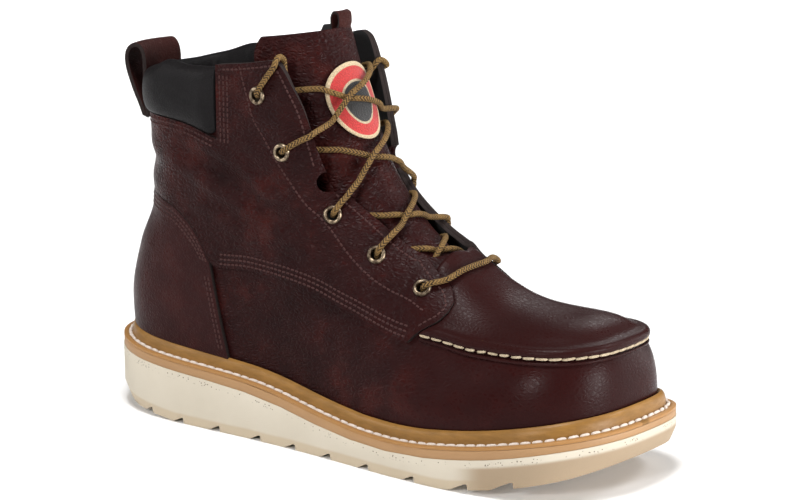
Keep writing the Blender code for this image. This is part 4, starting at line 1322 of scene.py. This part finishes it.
white_thread = thread_look("white_thread", (0.46, 0.385, 0.33), (0.74, 0.65, 0.58))
sew(
    "welt_stitches",
    [stitch_line],
    surface_of(welt),
    white_thread,
    pitch=5.4,
    size=(5.3, 1.9, 1.2),
    slant=6,
    sunk=0.0,
    uneven=1,
)

# Collar: a foam pad in smooth black leather, folded over the rim at the back of the opening and sewn down
# along its lower edge and its two front edges.
COLLAR_PROFILE = table(
    "share above lift",
    (0.0, 0.0, 0.3),
    (0.0, 0.2, 2.3),
    (0.06, 0, 3.4),
    (0.18, 0, 4.5),
    (0.45, 0, 5.2),
    (0.8, 0, 4.8),
    (1.0, 1.5, 3.4),
    (1.0, 4.2, 0.6),
    (1.0, 4.0, -3.2),
    (1.0, 0.5, -5.4),
    (0.75, 0, -6.2),
    (0.35, 0, -5.6),
    (0.1, 0, -3.4),
    (0.1, -1, -WALL - 0.4),
    (0.6, 0, -WALL - 0.4),
    (1.0, 0.3, -WALL - 0.4),
    (1.0, 0.3, 0.4),
    (0.5, 0, 0.3),
)
SEWN_FLAT = 9
CORNER_RISE, CORNER_RUN = 4.2, 5
BULGE = {LATERAL: 3.0, MEDIAL: 1.5}
BULGE_ALONG, BULGE_WIDTH = 51, 8


def close_ends(made):
    """Fills the open ends of a tube and turns all its faces outwards."""
    pick(made)
    bpy.ops.object.mode_set(mode="EDIT")
    bpy.ops.mesh.select_all(action="SELECT")
    bpy.ops.mesh.fill_holes(sides=0)
    bpy.ops.mesh.normals_make_consistent(inside=False)
    bpy.ops.object.mode_set(mode="OBJECT")


medial_alongs = stations((COLLAR_FRONT, 0.8), (80, 2), (30, 1.5), (9, 0))
lateral_alongs = stations((FEATHER_HEEL, 1.0), (10, 1.5), (30, 2), (80, 0.8), (COLLAR_FRONT, 0))
collar_places = [(MEDIAL, along) for along in medial_alongs]
collar_places += [(LATERAL, along) for along in lateral_alongs]
collar_rows = []
for side, along in collar_places:
    turn = side_turn(side, along)
    cut = section(turn)
    low = collar_low(cut["foot"])
    sewn = min(max((COLLAR_FRONT - along) / SEWN_FLAT, 0), 1)
    full = 0.5 + 0.5 * math.sin(sewn * math.pi / 2)
    corner = CORNER_RISE * max(1 - (COLLAR_FRONT - along) / CORNER_RUN, 0) ** 2
    bulge = BULGE[side] * math.exp(-(((along - BULGE_ALONG) / BULGE_WIDTH) ** 2))
    pucker = 0.25 * math.sin(along * 1.15) + 0.2 * math.sin(along * 0.53 + side)
    row = []
    for share, above, lift in zip(*COLLAR_PROFILE.values()):
        height = low + corner * (1 - share) + share * (rim_height(side, along) - low)
        puffed = lift * full if lift > 0.5 else lift
        if lift < -2.5:
            puffed = lift + pucker * share
        point = on_last(turn, up_at(cut, height), puffed)
        row.append(point + np.array([0, 0, above + bulge * share**3]))
    collar_rows.append(row + row[:1])
collar = sheet("padded_collar", np.array(collar_rows))
close_ends(collar)
shape_with(collar, "SUBSURF", levels=2, render_levels=2)
bpy.ops.object.shade_smooth()
collar_look = leather_look(
    "black_leather",
    (0.006, 0.0054, 0.0058),
    (0.008, 0.0072, 0.0076),
    (0.011, 0.0098, 0.0102),
    pebbles=900,
    depth=0.2,
    toe_depth=0.2,
    rough=0.38,
    shine=0.075,
)
dress(collar, "black_leather", collar_look, replaces=["collar"])

# Pull loop: a strap of smooth burgundy leather, folded into a standing loop over the back of the collar.
# Its ends are tucked in at the collar's lower edge and sewn in with it.
PULL_LOOP = (
    (17.6, 145.0),
    (15.8, 149),
    (12.4, 155.5),
    (9.0, 163),
    (6.8, 170.5),
    (7.3, 175),
    (9.8, 177.6),
    (13.0, 177.6),
    (15.3, 174),
    (15.8, 167),
    (15.8, 160),
    (15.6, 152),
)


def strap(name, path, lateral, medial, sag):
    """A strap that follows a path seen from the side, its edges set forward by the sag."""
    shares = np.linspace(-1, 1, 15)
    across = (lateral + medial) / 2 + shares * (medial - lateral) / 2
    rows = [np.column_stack([along + sag * shares**2, across, height + 0 * shares]) for along, height in path]
    return sheet(name, np.array(rows))


loop_path = closed_curve(np.array(PULL_LOOP), 6)
loop_path = np.vstack([loop_path, loop_path[:1]])
pull_loop = strap("heel_loop", loop_path[::-1], lateral=-14, medial=14, sag=2.8)
loop_look = leather_look(
    "burgundy_strap",
    (0.022, 0.007, 0.006),
    (0.04, 0.011, 0.009),
    (0.075, 0.02, 0.014),
    pebbles=700,
    depth=0.35,
    toe_depth=0.3,
    rough=0.48,
)
thicken(pull_loop, 2.0, loop_look, edge_look, rim=1)
soften(pull_loop, 0.45)
dress(pull_loop, "burgundy_leather", replaces=["pull_loop"])

# Tongue: a sheet of pebbled leather with a cloth lining, sewn in at the bottom of the throat. It curls
# round the instep and its top corners are rounded.
TONGUE_TOP, TONGUE_FOOT = 131, 197
TONGUE = table(
    "along height half depth fall",
    (TONGUE_TOP, 196.5, 26.5, 38, 8),
    (136, 182, 26, 35, 16),
    (142, 165.5, 25.5, 31, 20),
    (149, 147.5, 24.5, 28, 25),
    (158, 130, 22.5, 23, 32),
    (166, 119, 20.5, 18, 40),
    (176, 107.5, 19, 14.5, 48),
    (188, 98, 17, 11, 54),
    (TONGUE_FOOT, 92.5, 14, 7, 58),
)
TONGUE_THICKNESS, TONGUE_WAVE = 2.2, 0.25
CORNER_ANGLE, CORNER_DROP = 14, 3.6
tongue_height = curve(TONGUE, "height")
tongue_half = curve(TONGUE, "half")
tongue_depth = curve(TONGUE, "depth")
tongue_fall = curve(TONGUE, "fall")


def tongue_point(along, angle, lift=0.0):
    """A point on the tongue's outer face: angle is -90 at its lateral edge and 90 at its medial one."""
    half, depth, fall = tongue_half(along), tongue_depth(along), math.radians(tongue_fall(along))
    angle = math.radians(angle)
    back = depth * (1 - math.cos(angle))
    height = tongue_height(along) - back * math.sin(fall)
    point = np.array([along - back * math.cos(fall), half * math.sin(angle), height])
    away = np.array([math.cos(fall), 0, math.sin(fall)]) * half * math.cos(angle)
    away[1] = depth * math.sin(angle)
    return point + away / np.linalg.norm(away) * lift


tongue_rows = []
for along in stations((TONGUE_TOP, 0.25), (132.5, 0.6), (137, 1), (TONGUE_FOOT, 0)):
    trim = CORNER_ANGLE * max(1 - (along - TONGUE_TOP) / CORNER_DROP, 0) ** 2
    angles = np.linspace(-90 + trim, 90 - trim, 73)
    wave = TONGUE_WAVE * np.sin(np.radians(angles) * 5 + along * 0.35) * np.sin(along * 0.23)
    tongue_rows.append([tongue_point(along, angle, lift) for angle, lift in zip(angles, wave)])
tongue = sheet("leather_tongue", np.array(tongue_rows))
thicken(tongue, TONGUE_THICKNESS, leather, lining_look, edge_look, lining=1, rim=2)
soften(tongue, 0.6)
dress(tongue, "burgundy_leather", replaces=["tongue"])

# Tongue loop: a short narrow strap of the pull loop's leather, for drawing the lace through. It is folded
# over the top of the tongue, with one end sewn to the front and the other inside.
TONGUE_LOOP = table(
    "run along height",
    (0, 130.0, 194.0),
    (5, 131.6, 198.5),
    (10, 131.2, 202.6),
    (13.5, 128.4, 204),
    (17.5, 126.2, 200.5),
    (24, 126.6, 193.5),
)
loop_along, loop_height = curve(TONGUE_LOOP, "along"), curve(TONGUE_LOOP, "height")
loop_path = [(loop_along(run), loop_height(run)) for run in np.linspace(0, 24, 33)]
tongue_loop = strap("loop_of_tongue", loop_path[::-1], lateral=-1.5, medial=8.5, sag=-1.0)
thicken(tongue_loop, 1.2, loop_look, edge_look, rim=1)
soften(tongue_loop, 0.4)
dress(tongue_loop, "burgundy_leather", replaces=["tongue_loop"])

# Patch: a plain oval of woven cloth, black with a thin cream ring and a broad red one inside a thick
# overlocked rim. It is sewn flat on the tongue and follows its curve.
PATCH_ALONG, PATCH_ANGLE, PATCH_TALL, PATCH_WIDE = 143.2, -6.0, 6.8, 35.0
PATCH_FACE, PATCH_RIM, PATCH_THICKNESS = 1.3, 0.35, 0.9
RIM_START, RIM_SHARE = 0.88, 0.12
PATCH_SPOKES = 97
patch_rows = []
patch_shares = list(np.linspace(0.0, 0.86, 15)) + [0.89, 0.91, 0.93, 0.95, 0.97, 0.99, 1.0]
for share in patch_shares:
    rim = math.sin(math.pi * min(max((share - RIM_START) / RIM_SHARE, 0), 1)) ** 0.5
    row = []
    for turn in np.linspace(0, 2 * math.pi, PATCH_SPOKES):
        along = PATCH_ALONG + PATCH_TALL * share * math.cos(turn)
        wide = PATCH_WIDE * (1 - 0.16 * math.cos(turn))
        angle = PATCH_ANGLE + wide * share * math.sin(turn)
        row.append(tongue_point(along, angle, PATCH_FACE + PATCH_RIM * rim))
    patch_rows.append(row)
patch = sheet("oval_patch", np.array(patch_rows))
patch_cloth, tree, shader = new_look("patch_cloth", Roughness=0.85, Sheen_Weight=0.2)
place = object_place(tree)
share = number_at(tree, "from_middle")
threads = wire(tree, "TexVoronoi", {"Vector": place, "Scale": 1500.0}).outputs["Distance"]
tone = blend(tree, spread(tree, share, 0.5, 0.52), (0.016, 0.016, 0.017), (0.5, 0.4, 0.26))
tone = blend(tree, spread(tree, share, 0.56, 0.58), tone, (0.5, 0.022, 0.02))
tone = blend(tree, spread(tree, share, 0.885, 0.9), tone, (0.58, 0.44, 0.27))
tone = blend(tree, spread(tree, threads, 0.1, 0.7, 0.0, 0.35), tone, (0.02, 0.015, 0.012))
tree.links.new(tone, shader.inputs["Base Color"])
bump(tree, shader, threads, 0.6, 0.0005)
grid = np.array(patch_rows).reshape(-1, 3)
grid_shares = np.repeat(patch_shares, PATCH_SPOKES)
nearest = [np.argmin(((grid - spot) ** 2).sum(axis=1)) for spot in corners_of(patch)]
note(patch, "from_middle", grid_shares[nearest])
thicken(patch, PATCH_THICKNESS, patch_cloth)
pick(patch)
bpy.ops.object.shade_smooth()
dress(patch, "patch_cloth", replaces=["tongue_patch"])

# Eyelets: rings of brass with an aged brown finish. Each is set through its hole in flap and upper, and
# a rolled flange outside holds the leather's edge.
EYELET_PROFILE = (
    (2.55, -3.2),
    (2.5, 0.2),
    (2.62, 0.95),
    (2.95, 1.35),
    (3.45, 1.45),
    (4.0, 1.2),
    (4.35, 0.65),
    (4.45, 0.1),
    (4.25, 0.0),
    (2.8, 0.0),
    (2.75, -3.2),
)
brass_look, tree, shader = new_look("antique_brass", Metallic=1.0)
place = object_place(tree)
age = noise(tree, place, 420, 4)
tone = blend(tree, spread(tree, age, 0.35, 0.65), (0.07, 0.048, 0.033), (0.36, 0.28, 0.19))
tree.links.new(tone, shader.inputs["Base Color"])
tree.links.new(spread(tree, age, 0.3, 0.7, 0.5, 0.3), shader.inputs["Roughness"])
bump(tree, shader, noise(tree, place, 1500, 2), 0.1, 0.0002)
bpy.ops.mesh.primitive_plane_add(size=1)
eyelet_master = bpy.context.object
ring = bpy.data.meshes.new("eyelet_ring")
edges = [(i, (i + 1) % len(EYELET_PROFILE)) for i in range(len(EYELET_PROFILE))]
ring.from_pydata([(radius * MM, 0, rise * MM) for radius, rise in EYELET_PROFILE], edges, [])
eyelet_master.data = ring
pick(eyelet_master)
bpy.ops.object.mode_set(mode="EDIT")
bpy.ops.mesh.select_all(action="SELECT")
bpy.ops.mesh.spin(steps=32, angle=2 * math.pi, center=(0, 0, 0), axis=(0, 0, 1))
bpy.ops.mesh.select_all(action="SELECT")
bpy.ops.mesh.remove_doubles(threshold=0.000002)
bpy.ops.mesh.normals_make_consistent(inside=False)
bpy.ops.object.mode_set(mode="OBJECT")
bpy.ops.object.shade_smooth_by_angle(angle=math.radians(50))
for side, word in ((LATERAL, "lateral"), (MEDIAL, "medial")):
    for number, (along, height) in enumerate(zip(*EYELETS.values()), 1):
        made = bpy.data.objects.new(f"ring_{word}_{number}", ring.copy())
        bpy.context.scene.collection.objects.link(made)
        made.data.transform(flap_frame(side, along, height))
        dress(made, "antique_brass", brass_look, replaces=[f"eyelet_{word}_{number}"])
bpy.data.objects.remove(eyelet_master, do_unlink=True)

# Lace: one round braided cord, gold with dark brown flecks. It makes a bar across the lowest eyelets, then
# crosses over the tongue four times, and goes under and through each flap to the next eyelet up.
LACE_RADIUS = 1.4
LACE_CLEAR = LACE_RADIUS + 0.25
ON_FLAP = FLAP_FACE + LACE_CLEAR
UNDER_FLAP = -WALL - LACE_CLEAR
PAST_EYELET = 5.4
CORD_OVER, CORD_UNDER, CROSSING_SPREAD = 1.3, -1.2, 14
CROSSING = "row edge near near_angle cross cross_angle far far_angle lift"
LATERAL_CORDS = table(
    CROSSING,
    (1, 137, 145, -42, 142, -22, 137.5, 34, 3.6),
    (2, 152, 157.5, -42, 153.5, -18, 147.5, 38, 3.4),
    (3, 175, 174.5, -32, 172, -15, 165.5, 38, 1.9),
    (4, 0, 193, -38, 190, -12, 184, 36, 1.8),
)
MEDIAL_CORDS = table(
    CROSSING,
    (1, 137, 145, 36, 142, -22, 139.5, -44, 3.6),
    (2, 152, 157.5, 40, 153.5, -18, 150, -48, 3.4),
    (3, 175, 174.5, 32, 172, -15, 169.5, -42, 1.9),
    (4, 0, 193, 36, 190, -12, 185.5, -40, 1.8),
)


def eyelet_spot(side, row, lift):
    return on_side(side, EYELETS["along"][row], EYELETS["height"][row], lift)


def out_of_eyelet(side, row, edge):
    """Route out of an eyelet, over its rim and on to the flap's edge."""
    start = np.array([EYELETS["along"][row], EYELETS["height"][row]])
    goal = np.array([edge, flap_top(side, edge)])
    way = (goal - start) / np.linalg.norm(goal - start)
    rim = start + way * PAST_EYELET
    half = (rim + goal) / 2
    return [
        eyelet_spot(side, row, UNDER_FLAP + 1.0),
        eyelet_spot(side, row, 0.6),
        on_side(side, *(start + way * 1.6), FLAP_FACE + 1.6),
        on_side(side, *rim, ON_FLAP + 0.6),
        on_side(side, *half, ON_FLAP + 0.2),
        on_side(side, *goal, ON_FLAP + 0.4),
    ]


def crossing(side, row, over):
    """Route of one cord from its eyelet to the far side of the tongue, over the other cord or under it."""
    rows = LATERAL_CORDS if side == LATERAL else MEDIAL_CORDS
    values = [column[row - 1] for column in rows.values()]
    _, edge, near, near_angle, cross, cross_angle, far, far_angle, lift = values
    top = lift + (CORD_OVER if over else CORD_UNDER)
    if edge:
        route = out_of_eyelet(side, row, edge)
    else:
        route = [eyelet_spot(side, row, 0.6), eyelet_spot(side, row, UNDER_FLAP)]
    for start, end in (((near, near_angle), (cross, cross_angle)), ((cross, cross_angle), (far, far_angle))):
        for share in np.linspace(0, 1, 4)[1 if start[0] == cross else 0 :]:
            along, angle = (start[i] + (end[i] - start[i]) * share for i in (0, 1))
            gap = abs(angle - cross_angle) / CROSSING_SPREAD
            route.append(tongue_point(along, angle, lift + (top - lift) * math.exp(-gap * gap)))
    return route


def braided(points, spacing=0.9):
    """Places spaced evenly along a smooth cord through a route's points."""
    points = np.array(points)
    run = np.concatenate([[0], np.cumsum(np.linalg.norm(np.diff(points, axis=0), axis=1) ** 0.6)])
    rows = table("run x y z", *np.column_stack([run, points]))
    fine = np.linspace(0, run[-1], 60 * len(points))
    line = np.column_stack([curve(rows, column)(fine) for column in ("x", "y", "z")])
    for _ in range(40):
        line[1:-1] += 0.25 * (line[:-2] + line[2:] - 2 * line[1:-1])
    length = run_along(line)
    even = np.linspace(0, length[-1], int(length[-1] / spacing) + 1)
    return np.column_stack([np.interp(even, length, line[:, i]) for i in range(3)]), length[-1]


def lace_tube(name, points, sides=12):
    """A round cord along a route, with its own map of run and turn for the braid."""
    line, length = braided(points)
    ahead = np.gradient(line, axis=0)
    ahead /= np.linalg.norm(ahead, axis=1)[:, None]
    beside = np.cross(ahead[0], [0.3, 0.5, 0.8])
    rings = []
    for point, way in zip(line, ahead):
        beside = beside - way * (beside @ way)
        beside /= np.linalg.norm(beside)
        third = np.cross(way, beside)
        turns = np.linspace(0, 2 * math.pi, sides + 1)
        rings.append(point + LACE_RADIUS * (np.outer(np.cos(turns), beside) + np.outer(np.sin(turns), third)))
    made = sheet(name, np.array(rings)[:, ::-1])
    chart = made.data.uv_layers.active.data
    spots = np.empty(len(chart) * 2)
    chart.foreach_get("uv", spots)
    spots = spots.reshape(-1, 2)
    spots[:, 1] *= length
    chart.foreach_set("uv", spots.reshape(-1))
    close_ends(made)
    bpy.ops.object.shade_smooth_by_angle(angle=math.radians(60))
    return made, in_frame(line), length * MM


lace_look, tree, shader = new_look("flecked_lace", Roughness=0.8, Specular_IOR_Level=0.2)
chart = wire(tree, "SeparateXYZ", {0: wire(tree, "TexCoord").outputs["UV"]})
around = maths(tree, "PINGPONG", maths(tree, "MULTIPLY", chart.outputs["X"], 6.0), 1.0)
chevron = maths(tree, "ADD", maths(tree, "DIVIDE", chart.outputs["Y"], 1.7), around)
strands = maths(tree, "MULTIPLY", chevron, 2.0)
strand = wire(tree, "CombineXYZ", {0: maths(tree, "FLOOR", strands)}).outputs[0]
chance = wire(tree, "TexWhiteNoise", {"Vector": strand}, noise_dimensions="3D").outputs["Value"]
swell = maths(tree, "SINE", maths(tree, "MULTIPLY", maths(tree, "FRACT", strands), math.pi))
side_swell = maths(tree, "SINE", maths(tree, "MULTIPLY", around, math.pi))
ridge = maths(tree, "MULTIPLY", swell, maths(tree, "ADD", maths(tree, "MULTIPLY", side_swell, 0.5), 0.5))
dark_strand = spread(tree, maths(tree, "FRACT", chevron), 0.42, 0.58)
fleck = maths(tree, "MULTIPLY", dark_strand, spread(tree, chance, 0.0, 0.6, 0.5, 1.0))
tone = blend(tree, fleck, (0.26, 0.152, 0.05), (0.035, 0.019, 0.009))
# Where the ridge is low, in the grooves between the braid's strands, the colour is darkened: painted shade.
tone = blend(tree, spread(tree, ridge, 0.0, 0.4, 0.6, 0.0), tone, (0.025, 0.013, 0.006))
tree.links.new(tone, shader.inputs["Base Color"])
bump(tree, shader, ridge, 0.7, 0.0006)

# The cord's route: from the lateral top eyelet down to the bar, and up again to the medial top eyelet
lace_route = [eyelet_spot(LATERAL, 0, FLAP_FACE), eyelet_spot(LATERAL, 0, UNDER_FLAP)]
for side, row in ((MEDIAL, 1), (LATERAL, 2), (MEDIAL, 3), (LATERAL, 4)):
    lace_route += crossing(side, row, side == LATERAL)[::-1]
BAR_MIDDLE = 209.5
BAR_EDGE = {LATERAL: 206.0, MEDIAL: 205.0}
BAR_SHOULDER = {LATERAL: 208.3, MEDIAL: 207.0}
ON_PLUG = 1.4 + LACE_CLEAR
bar = {}
for side in (LATERAL, MEDIAL):
    turn = side_turn(side, BAR_SHOULDER[side])
    shoulder = (up_at(section(turn), tab_edge(BAR_SHOULDER[side])) + 1) / 2
    bar[side] = out_of_eyelet(side, 4, BAR_EDGE[side])[2:] + [on_last(turn, shoulder, ON_PLUG + 0.4)]
lace_route += bar[LATERAL] + [on_last(side_turn(LATERAL, BAR_MIDDLE), 1.0, ON_PLUG + 0.4)] + bar[MEDIAL][::-1]
for side, row in ((MEDIAL, 4), (LATERAL, 3), (MEDIAL, 2), (LATERAL, 1)):
    lace_route += crossing(side, row, side == LATERAL)
lace_route += [eyelet_spot(MEDIAL, 0, UNDER_FLAP), eyelet_spot(MEDIAL, 0, FLAP_FACE)]
lace, _, _ = lace_tube("crossed_lace", lace_route)
crossings = [f"lace_cross_{number}" for number in range(1, 5)]
dress(lace, "flecked_lace", lace_look, replaces=["lace_bar", *crossings])

# Lace ends: the two ends of the same braided cord. Each goes on from its top eyelet over the flap's edge
# and is tucked down inside the shaft.
for side, word, edge, inside_along, inside_height in (
    (LATERAL, "lateral", 121.5, 123, 168),
    (MEDIAL, "medial", 130.0, 122, 168),
):
    top = flap_top(side, edge)
    inside = -WALL - LACE_RADIUS - 0.65
    route = out_of_eyelet(side, 0, edge)[1:-1]
    route.append(on_side(side, edge, top, ON_FLAP + 0.3) + np.array([0, 0, 0.5]))
    route.append(on_side(side, edge, top, 0.15) + np.array([0, 0, 3.2]))
    route.append(on_side(side, edge, top, inside) + np.array([0, 0, 0.5]))
    route.append(on_side(side, inside_along, inside_height, inside))
    made, path, length = lace_tube(f"end_{word}", route)
    dress(made, "flecked_lace", lace_look, replaces=[f"lace_end_{word}"])

# Studio: a pale floor, and soft lamps overhead, in front, behind, and on the heel's, toe's and far sides.
# One lamp more, with a narrow beam, lights only the floor behind the boot.
bpy.ops.mesh.primitive_plane_add(size=12)
floor = bpy.context.object
floor.name = "pale_floor"
floor_look, tree, shader = new_look("pale_floor", Roughness=0.9)
place = object_place(tree)
tone = blend(tree, noise(tree, place, 3), (0.9, 0.9, 0.9), (0.93, 0.93, 0.93))
tree.links.new(tone, shader.inputs["Base Color"])
floor.data.materials.append(floor_look)

ON_BOOT, ON_FLOOR = (0, 0, 0.08), (-1.1, 1.5, 0)
LIGHTS = (
    ("overhead", (0.1, -0.3, 1.8), ON_BOOT, 0.5, 27),
    ("toe_side", (1.7, 0.3, 0.3), ON_BOOT, 0.6, 30),
    ("front", (0.3, -1.75, 0.85), ON_BOOT, 0.35, 16),
    ("heel_side", (-1.4, -1.0, 0.75), ON_BOOT, 0.6, 10),
    ("behind", (-0.5, 1.5, 1.0), ON_BOOT, 0.45, 2.6),
    ("far_side", (1.0, 1.3, 1.5), ON_BOOT, 0.6, 14),
    ("toe_rim", (0.8, 1.46, 0.25), ON_BOOT, 0.7, 6),
    ("backdrop", (-1.1, 1.5, 1.6), ON_FLOOR, 1.4, 12),
)
BEAMS = {ON_BOOT: math.radians(180), ON_FLOOR: math.radians(60)}
for name, spot, aim, size, power in LIGHTS:
    bpy.ops.object.light_add(type="AREA", location=spot)
    lamp = bpy.context.object
    lamp.name = name
    lamp.data.size = size
    lamp.data.energy = power
    lamp.data.spread = BEAMS[aim]
    lamp.rotation_euler = (Vector(spot) - Vector(aim)).to_track_quat("Z", "Y").to_euler()
world = bpy.data.worlds.new("studio_air")
bpy.context.scene.world = world
world.use_nodes = True
world.node_tree.nodes["Background"].inputs["Color"].default_value = (1, 1, 1, 1)
world.node_tree.nodes["Background"].inputs["Strength"].default_value = 0.06
bpy.context.scene.view_settings.view_transform = "Standard"
